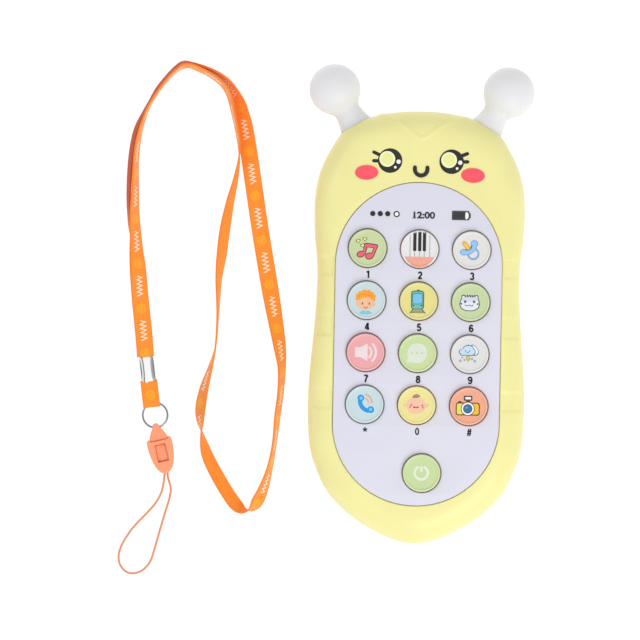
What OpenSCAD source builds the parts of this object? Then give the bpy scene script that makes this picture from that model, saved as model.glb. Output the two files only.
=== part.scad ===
// Toy cell phone shaped like a bee, lying on its back with the keys up, and its neck lanyard beside it.
// Frame: +Z up out of the keys, +Y towards the antennae, origin under the middle of the phone's own box.

/* [Body] */
// Length of the body without the antennae
body_len = 162; // [158:1:166]
// Width of the body at its widest
body_wide = 81; // [80:0.5:84]
// Height of the face panel above the back
panel_top = 28; // [27.8:0.1:28.4]
// Height of the seam between the two shells
seam_z = 15; // [14.9:0.05:15.1]

/* [Keys] */
// Diameter of a key cap
key_d = 14; // [13.6:0.1:14.2]
// Gap between a key cap and its hole
key_gap = 0.45; // [0.4:0.05:0.55]
// How far a key stands above the panel
key_rise = 2; // [1.4:0.1:2.4]
// Distance between key centres
key_pitch = 19.5; // [19:0.1:20]
// How far a key goes down when pressed
key_travel = 1.2; // [0.8:0.1:1.2]

/* [Antennae] */
// Diameter of an antenna's ball
ball_d = 19.1; // [17:0.1:19.6]
// Lean of an antenna from the phone's long axis
antenna_lean = 31; // [29:0.5:33]

/* [Battery bay] */
// Diameter of a cell
cell_d = 10.5; // [10:0.1:10.5]
// Length of a cell
cell_len = 44.5; // [44:0.1:44.5]
// Width of the battery door
door_w = 26; // [25:0.5:27]

/* [Lanyard] */
// Diameter of the tube that stands for the flat strap
strap_tube = 2.4; // [2:0.1:2.6]
// Outer diameter of the split ring
ring_d = 10; // [9.6:0.1:10.2]
// Diameter of the thin string
string_d = 0.8; // [0.6:0.1:1]

/* [Hidden] */
$fn = 64;

y_off = -8.6;                    // from the middle of the body to the middle of the phone's box
sx = body_wide / 81;
sy = body_len / 162;
panel_t = 1.2;
panel_bot = panel_top - panel_t;
floor_t = 2;
board_z = 18.6;
board_t = 1.6;

// Right half of the body's outline, from the middle of the head to the tip of the tail
OUT = [[0, 81], [10, 80.4], [19, 78.5], [25.5, 75.8], [30, 72], [33.5, 66.5], [36.5, 60.5], [38.5, 54],
       [39.4, 46], [39.2, 35], [38, 22], [38.2, 8], [39.2, -6], [40.3, -20], [40.5, -33], [39.6, -45],
       [37.3, -53], [33.5, -61], [28, -67.5], [21, -73], [13, -77.5], [6, -80.2], [0, -81]];
NO = len(OUT);
function out_pt(i) = i < 0 ? [-OUT[-i][0], OUT[-i][1]] : i >= NO ? [-OUT[2 * NO - 2 - i][0], OUT[2 * NO - 2 - i][1]] : OUT[i];
function cr(a, b, c, d, t) = 0.5 * (2 * b + (c - a) * t + (2 * a - 5 * b + 4 * c - d) * t * t + (3 * b - a - 3 * c + d) * t * t * t);
half = concat([for (i = [0 : NO - 2]) for (k = [0 : 1]) cr(out_pt(i - 1), out_pt(i), out_pt(i + 1), out_pt(i + 2), k / 2)], [OUT[NO - 1]]);
NH = len(half);
ring0 = concat(half, [for (i = [NH - 2 : -1 : 1]) [-half[i][0], half[i][1]]]);
NR = len(ring0);

// A closed solid through rings of the outline; each level is [inset, height]
module loft(levels) {
    NL = len(levels);
    pts = [for (l = levels) for (p = ring0) [sx * p[0] * (1 - l[0] / 40.5), sy * p[1] * (1 - l[0] / 81), l[1]]];
    sides = [for (i = [0 : NL - 2]) for (j = [0 : NR - 1]) let (a = i * NR + j, b = i * NR + (j + 1) % NR) each [[a, b, b + NR], [a, b + NR, a + NR]]];
    polyhedron(points = pts, faces = concat([[for (j = [NR - 1 : -1 : 0]) j]], sides, [[for (j = [0 : NR - 1]) (NL - 1) * NR + j]]), convexity = 6);
}

// Outline of the face panel: straight sides and two half ellipses, grown by g
function panel_pts(g) = concat(
    [for (a = [0 : 5 : 180]) [(31.2 + g) * cos(a), 23.5 + (30.8 + g) * sin(a)]],
    [for (a = [180 : 5 : 360]) [(31.2 + g) * cos(a), -36 + (30.8 + g) * sin(a)]]);
module panel_shape(g) polygon(panel_pts(g));

// A round tube of radius r swept along a list of points
function unit(v) = v / norm(v);
function tang(p, i) = unit(p[min(i + 1, len(p) - 1)] - p[max(i - 1, 0)]);
module tube(p, r, n = 8) {
    N = len(p);
    pts = [for (i = [0 : N - 1]) let (t = tang(p, i), u = unit(cross([0.01, 0.02, 1], t)), w = cross(t, u)) for (k = [0 : n - 1]) p[i] + r * (u * cos(360 * k / n) + w * sin(360 * k / n))];
    polyhedron(points = pts, faces = concat([[for (k = [0 : n - 1]) k]],
        [for (i = [0 : N - 2]) for (k = [0 : n - 1]) let (a = i * n + k, b = i * n + (k + 1) % n) each [[a, a + n, b + n], [a, b + n, b]]],
        [[for (k = [n - 1 : -1 : 0]) (N - 1) * n + k]]), convexity = 8);
}
function smooth(p, k) = concat([for (i = [0 : len(p) - 2]) for (j = [0 : k - 1]) cr(p[max(i - 1, 0)], p[i], p[i + 1], p[min(i + 2, len(p) - 1)], j / k)], [p[len(p) - 1]]);

module frame() translate([0, y_off, 0]) children();

// Antenna placement: local +Y runs along the stem, from the shell's surface outwards
module at_antenna(s) translate([s * 24.4, 74.9, seam_z]) rotate([0, 0, -s * antenna_lean]) children();
ant_s = 16;                      // surface to ball centre

case_bosses = [[27, 54], [-27, 54], [22, -62], [-22, -62]];
board_posts = [[32.4, 39], [-32.4, 39], [32.4, -39], [-32.4, -39]];
bay_x = 11.7;
bay_y0 = -49;
bay_y1 = 1;
hinge_y = -52;
hinge_z = 1.1;
door_y1 = 9;
screw_y = 5;

module front_shell() color([0.95, 0.92, 0.65]) frame() difference() {
    union() {
        difference() {
            loft([[12, panel_bot - 1.6], [7.8, panel_bot - 1.8], [5.8, panel_bot - 2.6], [4.2, 22.8], [3.2, 21], [2.6, 19.2], [2.2, 17.2], [2.1, seam_z - 1.4],
                  [1.1, seam_z - 1.4], [1.1, seam_z], [0, seam_z], [0.1, 17.5], [0.5, 20], [1.3, 22.5], [2.8, 24.9], [4.8, 26.5], [7, panel_top - 0.6], [9, panel_top - 0.2], [12, panel_top]]);
            translate([0, 0, panel_bot - 4]) linear_extrude(8) panel_shape(-1.5);
            translate([0, 0, panel_bot]) linear_extrude(4) panel_shape(0.2);
        }
        for (p = case_bosses) translate([p[0], p[1], 13]) cylinder(r = 3.2, h = 12);
        for (p = board_posts) translate([p[0], p[1], board_z + board_t]) cylinder(r = 2.2, h = 4.8);
    }
    for (p = case_bosses) translate([p[0], p[1], 12]) cylinder(r = 1.32, h = 9);
    for (p = board_posts) translate([p[0], p[1], board_z]) cylinder(r = 0.92, h = 4.6);
    for (s = [-1, 1]) at_antenna(s) rotate([90, 0, 0]) translate([0, 0, -6]) cylinder(r = 6.4, h = 9.6);
}

module rear_shell() color([0.95, 0.92, 0.65]) frame() difference() {
    union() {
        loft([[9, 0], [5.5, 0.5], [3.2, 1.7], [1.6, 3.8], [0.6, 6.8], [0.1, 10.5], [0, seam_z], [0.95, seam_z], [0.95, seam_z - 1.6],
              [2.1, seam_z - 1.6], [2.2, 10.5], [2.7, 7.2], [3.7, 4.6], [5.4, 3], [7.5, 2.1], [10, floor_t]]);
        translate([-door_w / 2 - 2.5, hinge_y - 3.5, 1]) cube([door_w + 5, door_y1 - hinge_y + 6, 3.6]);
        translate([-bay_x - 1.4, bay_y0 - 1.4, 1]) cube([2 * bay_x + 2.8, bay_y1 - bay_y0 + 2.8, 13.6]);
        translate([0, screw_y, 1]) cylinder(r = 3.4, h = 9.5);
        for (p = case_bosses) translate([p[0], p[1], 1.9]) cylinder(r = 4.2, h = 11.1);
        translate([-7, -76, 1.9]) cube([14, 12, 5.8]);
    }
    // battery bay, the door's seat and the groove that its hinge edge turns in
    translate([-bay_x, bay_y0, -1]) cube([2 * bay_x, bay_y1 - bay_y0, 14.2]);
    translate([-door_w / 2 - 0.25, hinge_y, -1]) cube([door_w + 0.5, door_y1 + 0.3 - hinge_y, 3.3]);
    translate([-door_w / 2 - 0.25, hinge_y, hinge_z]) rotate([0, 90, 0]) cylinder(r = 1.25, h = door_w + 0.5);
    translate([-door_w / 2 - 0.25, hinge_y - 1.25, -1]) cube([door_w + 0.5, 1.3, 1 + hinge_z]);
    translate([0, screw_y, 0]) cylinder(r = 1.95, h = 9.2);
    for (p = case_bosses) translate([p[0], p[1], -1]) { cylinder(r = 3, h = 6); cylinder(r = 1.5, h = 15); }
    // lanyard pocket, its bar is added back below
    difference() {
        translate([-5, -74, -1]) cube([10, 8, 7.2]);
        translate([-6, -70, 1.5]) rotate([0, 90, 0]) cylinder(r = 1.2, h = 12);
    }
    // speaker grille
    translate([0, 46, -1]) { cylinder(r = 0.9, h = 4); for (a = [0 : 60 : 300]) rotate(a) translate([4, 0, 0]) cylinder(r = 0.9, h = 4); for (a = [0 : 30 : 330]) rotate(a) translate([8, 0, 0]) cylinder(r = 0.9, h = 4); }
    for (s = [-1, 1]) at_antenna(s) rotate([90, 0, 0]) translate([0, 0, -6]) cylinder(r = 6.4, h = 9.6);
}

key_x = [-19.4, 0.2, 19.8];
function key_at(c, r) = [0.2 + (c - 1) * key_pitch, 0.1 + (1.5 - r) * key_pitch];
power_at = [2.5, -54.5];

module face_panel() color([0.9, 0.9, 0.94]) frame() translate([0, 0, panel_bot]) difference() {
    linear_extrude(panel_t) panel_shape(-0.1);
    for (c = [0 : 2]) for (r = [0 : 3]) translate(concat(key_at(c, r), [-1])) cylinder(r = key_d / 2 + key_gap, h = 4);
    translate(concat(power_at, [-1])) cylinder(r = key_d / 2 + key_gap, h = 4);
}

// A cap with a rounded rim, a shallow dish and a flange that keeps it under the panel
module cap(p, c) color(c) frame() translate([p[0], p[1], 0]) rotate_extrude() {
    r = key_d / 2;
    t = panel_top + key_rise;
    polygon([[0, panel_bot - 1.8], [8.3, panel_bot - 1.8], [8.3, panel_bot - 0.2], [r, panel_bot - 0.2], [r, t - 0.7], [r - 0.08, t - 0.35], [r - 0.25, t - 0.1], [r - 0.45, t],
             [r - 0.6, t], [r - 0.8, t - 0.12], [r - 1, t - 0.32], [r - 3, t - 0.5], [0, t - 0.55]]);
}
module key_1() cap(key_at(0, 0), [0.78, 0.84, 0.66]);
module key_2() cap(key_at(1, 0), [0.93, 0.92, 0.93]);
module key_3() cap(key_at(2, 0), [0.9, 0.9, 0.9]);
module key_4() cap(key_at(0, 1), [0.79, 0.86, 0.84]);
module key_5() cap(key_at(1, 1), [0.9, 0.87, 0.56]);
module key_6() cap(key_at(2, 1), [0.78, 0.84, 0.66]);
module key_7() cap(key_at(0, 2), [0.91, 0.68, 0.68]);
module key_8() cap(key_at(1, 2), [0.78, 0.84, 0.66]);
module key_9() cap(key_at(2, 2), [0.9, 0.9, 0.9]);
module key_star() cap(key_at(0, 3), [0.79, 0.86, 0.84]);
module key_0() cap(key_at(1, 3), [0.9, 0.87, 0.56]);
module key_hash() cap(key_at(2, 3), [0.9, 0.66, 0.53]);
module power_key() cap(power_at, [0.79, 0.86, 0.65]);

module keypad_membrane() color([0.85, 0.85, 0.88]) frame() translate([0, 0, board_z + board_t]) {
    top = panel_bot - 1.8 - 1.2 - 0.1 - board_z - board_t;
    difference() { union() { translate([-29, -39, 0]) cube([58, 78, 0.8]); translate([-9, -64, 0]) cube([23, 26, 0.8]); } for (x = [-28, 28]) translate([x, 0, -1]) cylinder(r = 0.6, h = 3); }
    for (c = [0 : 2]) for (r = [0 : 3]) translate(key_at(c, r)) cylinder(r1 = 4.5, r2 = 2.6, h = top);
    translate(power_at) cylinder(r1 = 4.5, r2 = 2.6, h = top);
}

module main_board() color([0.12, 0.42, 0.22]) frame() translate([0, 0, board_z]) difference() {
    union() { translate([-35, -44, 0]) cube([70, 90, board_t]); translate([-14, -66, 0]) cube([28, 24, board_t]); }
    for (p = board_posts) translate([p[0], p[1], -1]) cylinder(r = 1.1, h = 4);
}

module board_parts() color([0.08, 0.08, 0.09]) frame() {
    translate([18, 22, board_z]) rotate([180, 0, 0]) rotate_extrude() polygon([[0, 0], [6.5, 0], [6, 0.8], [4.4, 1.5], [2.2, 1.9], [0, 2]]);
    translate([-20, 26, board_z - 7]) cylinder(r = 2.5, h = 7);
    translate([-12, 26, board_z - 2.4]) cube([5, 3.2, 2.4], center = false);
    translate([-26, 8, board_z - 1]) cube([5, 8, 1]);
    for (i = [0 : 4]) translate([20, -8 - 5 * i, board_z - 0.6]) cube([3.2, 1.6, 0.6]);
    for (i = [0 : 3]) translate([-24, -12 - 5 * i, board_z - 0.6]) cube([3.2, 1.6, 0.6]);
}

// A pan-head screw pointing up, with a cross recess in its head
module screw(head_r, head_h, r, len) difference() {
    union() { cylinder(r = head_r, h = head_h); translate([0, 0, head_h]) cylinder(r = r, h = len - 0.8); translate([0, 0, head_h + len - 0.8]) cylinder(r1 = r, r2 = 0.4, h = 0.8); }
    for (a = [0, 90]) rotate(a) translate([-head_r * 0.55, -0.3, -1]) cube([head_r * 1.1, 0.6, 1 + head_h * 0.7]);
}
module board_screws() color("silver") frame() for (p = board_posts) translate([p[0], p[1], board_z - 1.2]) screw(1.9, 1.2, 0.9, 4.4);
module case_screws() color("silver") frame() for (p = case_bosses) translate([p[0], p[1], 3.1]) screw(2.7, 1.9, 1.3, 14);

// Antenna: one soft moulding with a flange inside the shells, a flared stem and a ball
module antenna(s) color([0.95, 0.95, 0.95, 0.9]) frame() at_antenna(s) rotate([-90, 0, 0]) difference() {
    rotate_extrude() polygon(concat([[0, -6], [8, -6], [8, -4.2], [6.2, -4], [6.25, 0.4], [5.75, 2], [5.3, 4], [5, 5.6], [4.95, 6.6], [5.15, 7.4], [5.6, 8.2]],
        [for (a = [-47 : 6.85 : 90]) [ball_d / 2 * cos(a), ant_s + ball_d / 2 * sin(a)]], [[0, ant_s + ball_d / 2]]));
    translate([0, 0, -7]) cylinder(r = 2.75, h = 14);
    translate([0, 0, 6.99]) rotate_extrude() intersection() { circle(r = 2.75); translate([0, 0]) square(3); }
}
module antenna_left() antenna(-1);
module antenna_right() antenna(1);
module led(s) color([0.9, 0.25, 0.2, 0.8]) frame() at_antenna(s) rotate([-90, 0, 0]) {
    translate([0, 0, -4]) rotate_extrude() polygon(concat([[0, 0], [2.65, 0], [2.65, 1], [2.5, 1], [2.5, 6]], [for (a = [10 : 10 : 90]) [2.5 * cos(a), 6 + 2.5 * sin(a)]]));
    for (x = [-1.27, 1.27]) translate([x - 0.25, -0.25, -9]) cube([0.5, 0.5, 5]);
}
module led_left() led(-1);
module led_right() led(1);
module led_wires() color([0.2, 0.2, 0.6]) frame() for (s = [-1, 1]) for (k = [-1, 1])
    tube(smooth([[s * 19.6 + k * 1.1, 66.95 - k * s * 0.66, 15], [s * 17.8 + k * 0.9, 62, 15], [s * 16.5 + k * 0.8, 54, 16.5], [s * 16 + k * 0.8, 48.6, 17.4], [s * 16 + k * 0.8, 47, 18.2]], 4), 0.4, 6);

module speaker() color([0.25, 0.25, 0.27]) frame() translate([0, 46, floor_t + 0.05]) {
    difference() { cylinder(r = 14, h = 3); translate([0, 0, -1]) cylinder(r = 12, h = 2.2); }
    translate([0, 0, 3]) cylinder(r1 = 12, r2 = 8, h = 1.6);
    translate([0, 0, 4.6]) cylinder(r = 8, h = 2.2);
}
module speaker_clamp() color([0.85, 0.85, 0.8]) frame() translate([0, 46, floor_t + 0.05]) difference() {
    union() { cylinder(r = 16, h = 4); for (a = [30, 150, 270]) rotate(a) translate([16.5, 0, 0]) cylinder(r = 2, h = 4); }
    translate([0, 0, -1]) cylinder(r = 14.1, h = 4.1);
    translate([0, 0, 2]) cylinder(r = 12.6, h = 4);
}
module speaker_wires() color([0.6, 0.1, 0.1]) frame() for (k = [-1, 1])
    tube(smooth([[-6 + k, 35.5, 8.2], [-7 + k, 33.5, 9.2], [-8 + k, 31, 11], [-9 + k, 29.4, 13.6], [-9.5 + k, 28.4, 15.6]], 4), 0.5, 6);

cell_z = 2.5 + cell_d / 2;
module cell(x, flip) color([0.2, 0.45, 0.25]) frame() translate([x, -23.9, cell_z]) rotate([flip ? 90 : -90, 0, 0]) translate([0, 0, -cell_len / 2])
    rotate_extrude() polygon([[0, 0], [3.6, 0], [3.6, 0.3], [cell_d / 2 - 0.4, 0.3], [cell_d / 2, 0.7], [cell_d / 2, cell_len - 1.4], [cell_d / 2 - 0.4, cell_len - 1], [1.9, cell_len - 1], [1.9, cell_len], [0, cell_len]]);
module battery_cell_1() cell(-5.6, false);
module battery_cell_2() cell(5.6, true);
// Conical contact springs at the cells' flat ends, each wound from 1.6 turns a millimetre of pitch
module contact_spring(x, dir) translate([x, -23.9, cell_z]) rotate([dir > 0 ? -90 : 90, 0, 0]) translate([0, 0, cell_len / 2 + 0.2])
    tube([for (i = [0 : 40]) let (a = i * 27) [(2 + i * 0.05) * cos(a), (2 + i * 0.05) * sin(a), 0.3 + i * 0.039]], 0.25, 6);
module contact_springs() color("silver") frame() { contact_spring(-5.6, -1); contact_spring(5.6, 1); }
module contact_plates() color("silver") frame() {
    translate([-10.6, bay_y0 + 0.05, 3]) cube([9.8, 0.35, 9]);
    translate([0.8, bay_y0 + 0.05, 3]) cube([9.8, 0.35, 9]);
    translate([-10.6, bay_y1 - 0.4, 3]) cube([21.2, 0.35, 9]);
}
module battery_wires() color([0.7, 0.1, 0.1]) frame() for (s = [-1, 1])
    tube(smooth([[s * 15.2, -44, 15.4], [s * 16.5, -40, 15.8], [s * 17, -34, 16], [s * 17, -28, 16.4], [s * 17, -25, 18.2]], 4), 0.5, 6);

module battery_door() color([0.95, 0.92, 0.65]) frame() difference() {
    union() {
        translate([-door_w / 2, hinge_y, 0]) cube([door_w, door_y1 - hinge_y, 2.2]);
        translate([-door_w / 2, hinge_y, hinge_z]) rotate([0, 90, 0]) cylinder(r = 1.1, h = door_w);
    }
    translate([0, screw_y, -1]) { cylinder(r = 2.95, h = 2.3); cylinder(r = 1.45, h = 5); }
    for (x = [-7 : 2 : 7]) translate([x - 0.4, -46, -1]) cube([0.8, 5, 1.4]);
}
module door_screw() color("silver") frame() translate([0, screw_y, 0.2]) screw(2.7, 1.1, 1.25, 6.6);

// Lanyard strap: one loop of webbing. It leaves the crimp, goes up the left side, over and down the right,
// turns at the bottom and comes back inside itself to the crimp. Points are [x, y, z].
STRAP = [[-101, -24, 1.3], [-102.4, -18, 1.3], [-103.8, -12, 1.4], [-105.2, -4, 1.8], [-107, 8, 2.6], [-109, 22, 3.2], [-110, 36, 3.3], [-110.2, 48, 3.4], [-109.2, 58, 3.4],
         [-107, 66, 3.4], [-102.4, 75.4, 3.4], [-97.4, 83, 3.4], [-93, 87.6, 3.4], [-88.6, 89.3, 3.4], [-83, 87.8, 3.4], [-77.6, 85.4, 3.3], [-72.8, 81.6, 3], [-69.2, 76.5, 2.6], [-67, 70.6, 2.2],
         [-65.6, 64, 1.8], [-63, 47, 1.4], [-59.7, 27, 1.4], [-56, 7, 1.6], [-53.7, -5, 2.2], [-51.4, -17, 3], [-50.4, -26, 3.4], [-51, -34, 3.4], [-52, -43, 3.4], [-53, -54, 3.4],
         [-54.5, -63, 3.4], [-56.6, -70, 3.4], [-59, -75.6, 3.4], [-62.4, -78.6, 3.4], [-66.2, -77, 3.4], [-70.4, -71.5, 3.2], [-75.4, -63.2, 3.2], [-79, -54.6, 3.3], [-80.7, -46, 3.4], [-80.4, -40, 3.3],
         [-79, -33, 3.3], [-77, -24.6, 3.4], [-75.4, -17, 3.4], [-75, -5, 3.4], [-74.9, 8, 3.4], [-74, 17, 3.3], [-72.9, 27, 3.3], [-71.2, 37, 3.4], [-69.6, 45, 3.4], [-69, 52, 4.2], [-69.6, 60, 4.8],
         [-70.8, 67, 5.2], [-73, 74, 5.4], [-76.4, 79.4, 5.2], [-81, 83.2, 4.6], [-86, 85.2, 4], [-90.4, 84.6, 3.6], [-94.6, 80.6, 3.5], [-98.6, 75, 3.5], [-103, 65.5, 3.5], [-105.4, 57, 3.5],
         [-106.4, 47, 3.5], [-106, 35, 3.6], [-105, 22, 3.8], [-104, 9, 4], [-103, -4, 4.1], [-102.2, -12, 4.1], [-101.8, -18, 4.1], [-101, -24, 4.1]];
module lanyard_strap() color([1, 0.55, 0.16]) tube(STRAP, strap_tube / 2, 8);

CRIMP_A = 9.5;                   // turn of the crimp and the tail below it
module strap_crimp() color("silver") translate([-101, -26.6, 0]) rotate(CRIMP_A) difference() {
    translate([-2.8, -4.5, 0]) cube([5.6, 9, 5.6]);
    translate([-2.3, 2.2, 0.05]) cube([4.6, 3, 5.3]);
}
ring_c = [-97.9, -43.8];
module ring_cut(w) translate([ring_c[0], ring_c[1], 0]) rotate_extrude() translate([ring_d / 2 - 0.4 - w, 0.35]) square([2 * w, 2.1]);
module strap_tail() color([1, 0.55, 0.16]) difference() {
    translate([-99.6, -36, 0]) rotate(CRIMP_A) translate([-3.1, -4.6, 0]) cube([6.2, 9.4, 2.8]);
    ring_cut(0.6);
}
module split_ring() color("silver") translate([ring_c[0], ring_c[1], 0]) { translate([0, 0, 1]) rotate_extrude() translate([ring_d / 2 - 0.4, 0]) circle(r = 0.4, $fn = 24); translate([0, 0, 1.75]) rotate_extrude() translate([ring_d / 2 - 0.4, 0]) circle(r = 0.4, $fn = 24); }
module at_buckle() translate([-97.7, -46.6, 0]) rotate(13.7) children();
module buckle_top() color([1, 0.62, 0.44]) difference() {
    at_buckle() {
        linear_extrude(4.4) polygon([[-0.9, 0], [0.9, 0], [1.7, -0.8], [2.4, -3], [2.9, -5], [3.1, -6.3], [-3.1, -6.3], [-2.9, -5], [-2.4, -3], [-1.7, -0.8]]);
        translate([-2, -14.8, 1.6]) cube([4, 8.6, 1.8]);
        translate([-1.7, -14.2, 3.3]) cube([3.4, 4.2, 0.35]);
    }
    ring_cut(0.6);
}
module buckle_body() color([1, 0.62, 0.44]) at_buckle() difference() {
    linear_extrude(5) polygon([[-4.5, -6.5], [4.5, -6.5], [4.8, -7.6], [4.6, -10], [4, -13.5], [3.1, -16.5], [2.1, -18.4], [0.9, -19.2], [-0.9, -19.2], [-2.1, -18.4], [-3.1, -16.5], [-4, -13.5], [-4.6, -10], [-4.8, -7.6]]);
    translate([-2.3, -15.4, 1.3]) cube([4.6, 10, 2.5]);
    translate([-2.2, -15.6, 3]) cube([4.4, 6.6, 3]);
    translate([0, -17.2, 2.2]) rotate([90, 0, 0]) cylinder(r = 1.25, h = 4);
}
STRING = [[-93.7, -64.2, 1.6], [-93.9, -66.4, 1.4], [-94.2, -69, 1], [-95, -72.6, 0.6], [-97, -76.4, 0.5], [-100, -80, 0.5], [-103.2, -83.4, 0.5], [-106.2, -87, 0.5], [-109, -91.6, 0.5],
          [-110.4, -95.6, 0.5], [-110.2, -99, 0.5], [-108.6, -101.6, 0.5], [-106.2, -102.9, 0.5], [-103.4, -102.7, 0.5], [-100.6, -101, 0.5], [-98.4, -98, 0.5], [-97, -93.4, 0.5],
          [-95.2, -86.6, 0.5], [-93.4, -80, 0.5], [-91.8, -74.4, 0.5], [-91.4, -71, 0.8], [-92, -68.4, 1.2], [-92.6, -66.2, 1.5], [-92.8, -64, 1.7]];
module string_loop() color([0.92, 0.6, 0.4]) tube(STRING, string_d / 2, 8);

front_shell();
rear_shell();
face_panel();
key_1();
key_2();
key_3();
key_4();
key_5();
key_6();
key_7();
key_8();
key_9();
key_star();
key_0();
key_hash();
power_key();
keypad_membrane();
main_board();
board_parts();
board_screws();
antenna_left();
antenna_right();
led_left();
led_right();
led_wires();
speaker();
speaker_clamp();
speaker_wires();
battery_cell_1();
battery_cell_2();
contact_springs();
contact_plates();
battery_wires();
battery_door();
door_screw();
case_screws();
lanyard_strap();
strap_crimp();
strap_tail();
split_ring();
buckle_top();
buckle_body();
string_loop();
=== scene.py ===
import math

import bmesh
import bpy
import numpy as np
from mathutils import Matrix, Vector
from mathutils.bvhtree import BVHTree
from mathutils.geometry import tessellate_polygon


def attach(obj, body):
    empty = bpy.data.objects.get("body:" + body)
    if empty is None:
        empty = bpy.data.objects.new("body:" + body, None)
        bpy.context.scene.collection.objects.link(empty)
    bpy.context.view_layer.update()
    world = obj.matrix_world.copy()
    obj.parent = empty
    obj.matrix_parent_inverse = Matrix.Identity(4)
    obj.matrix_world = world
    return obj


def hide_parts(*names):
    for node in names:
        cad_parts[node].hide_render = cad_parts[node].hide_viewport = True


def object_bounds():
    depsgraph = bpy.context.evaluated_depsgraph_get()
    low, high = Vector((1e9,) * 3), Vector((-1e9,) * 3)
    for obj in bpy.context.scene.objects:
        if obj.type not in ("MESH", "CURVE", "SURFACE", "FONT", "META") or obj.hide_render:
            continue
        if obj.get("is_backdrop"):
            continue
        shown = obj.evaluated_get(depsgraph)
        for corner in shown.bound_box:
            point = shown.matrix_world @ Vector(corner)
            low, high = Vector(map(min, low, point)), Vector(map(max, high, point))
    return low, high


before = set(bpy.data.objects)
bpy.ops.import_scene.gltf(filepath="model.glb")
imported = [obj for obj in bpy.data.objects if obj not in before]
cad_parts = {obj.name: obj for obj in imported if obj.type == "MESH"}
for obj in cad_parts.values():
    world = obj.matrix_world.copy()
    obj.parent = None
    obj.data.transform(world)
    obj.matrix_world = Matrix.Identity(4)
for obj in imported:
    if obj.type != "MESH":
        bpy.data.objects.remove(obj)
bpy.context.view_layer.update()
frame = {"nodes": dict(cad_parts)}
MM = 0.001
YO = -8.6  # middle of the body to the middle of the phone's box, mm
SC = bpy.context.scene
SC.view_settings.view_transform = "Standard"
SC.view_settings.look = "None"

# ------------------------------------------------------------------ camera, light, floor
cam_data = bpy.data.cameras.new("camera")
cam = bpy.data.objects.new("camera", cam_data)
SC.collection.objects.link(cam)
SC.camera = cam
cam_data.lens = 1500
cam_data.sensor_width = 36
cam_data.clip_end = 100
ROLL = math.radians(1.1)
cam.location = (-0.0366, -0.0065, 10.015)
cam.rotation_euler = (0, 0, ROLL)


def srgb(r, g, b):
    def f(c):
        c /= 255
        return c / 12.92 if c <= 0.04045 else ((c + 0.055) / 1.055) ** 2.4

    return (f(r), f(g), f(b), 1)


class Mat:
    """A node material with short helpers."""

    def __init__(self, name, color, rough=0.45, **sockets):
        self.m = bpy.data.materials.new(name)
        self.m.use_nodes = True
        self.t = self.m.node_tree
        self.n = self.t.nodes
        self.p = self.n["Principled BSDF"]
        self.p.inputs["Base Color"].default_value = color
        self.p.inputs["Roughness"].default_value = rough
        self.color = color
        for k, v in sockets.items():
            self.p.inputs[k.replace("_", " ")].default_value = v

    def node(self, kind, **props):
        x = self.n.new(kind)
        for k, v in props.items():
            setattr(x, k, v)
        return x

    def link(self, a, b):
        self.t.links.new(a, b)

    def coords(self, kind="Object"):
        if not hasattr(self, "tc"):
            self.tc = self.node("ShaderNodeTexCoord")
        return self.tc.outputs[kind]

    def math(self, op, a, b=None, c=None, clamp=False):
        x = self.node("ShaderNodeMath", operation=op)
        x.use_clamp = clamp
        for i, v in enumerate((a, b, c)):
            if v is None:
                continue
            if isinstance(v, (int, float)):
                x.inputs[i].default_value = v
            else:
                self.link(v, x.inputs[i])
        return x.outputs[0]

    def noise(self, scale, detail=2, rough=0.5, vec=None):
        x = self.node("ShaderNodeTexNoise")
        x.inputs["Scale"].default_value = scale
        x.inputs["Detail"].default_value = detail
        x.inputs["Roughness"].default_value = rough
        self.link(vec or self.coords(), x.inputs["Vector"])
        return x.outputs["Fac"]

    def ramp(self, fac, stops):
        x = self.node("ShaderNodeValToRGB")
        e = x.color_ramp.elements
        while len(e) < len(stops):
            e.new(0.5)
        for el, (p, c) in zip(e, stops):
            el.position = p
            el.color = c if len(c) == 4 else (*c, 1)
        self.link(fac, x.inputs[0])
        return x.outputs[0]

    def mix(self, fac, a, b):
        x = self.node("ShaderNodeMix", data_type="RGBA")
        for i, v in ((0, fac), (6, a), (7, b)):
            if isinstance(v, (int, float, tuple)):
                x.inputs[i].default_value = v
            else:
                self.link(v, x.inputs[i])
        return x.outputs[2]

    def base(self, out):
        self.link(out, self.p.inputs["Base Color"])
        return self

    def rough(self, out):
        self.link(out, self.p.inputs["Roughness"])
        return self

    def bump(self, height, strength=0.3, dist=0.0001):
        b = self.node("ShaderNodeBump")
        b.inputs["Strength"].default_value = strength
        b.inputs["Distance"].default_value = dist
        self.link(height, b.inputs["Height"])
        self.link(b.outputs[0], self.p.inputs["Normal"])
        return self

    def vary(self, amount=0.03, scale=60):
        """Slight unevenness of colour, as in moulded or printed colour."""
        c = self.color
        lo = tuple(max(0, x * (1 - amount)) for x in c[:3]) + (1,)
        hi = tuple(min(1, x * (1 + amount)) for x in c[:3]) + (1,)
        self.base(self.ramp(self.noise(scale, 3), [(0.3, lo), (0.7, hi)]))
        return self

    def plastic(self, grain=900, strength=0.12, rlo=0.32, rhi=0.5, amount=0.02):
        self.vary(amount)
        self.bump(self.noise(grain, 3), strength, 0.00006)
        r = self.node("ShaderNodeMapRange")
        r.inputs["To Min"].default_value = rlo
        r.inputs["To Max"].default_value = rhi
        self.link(self.noise(140, 4), r.inputs["Value"])
        self.rough(r.outputs[0])
        return self


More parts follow.
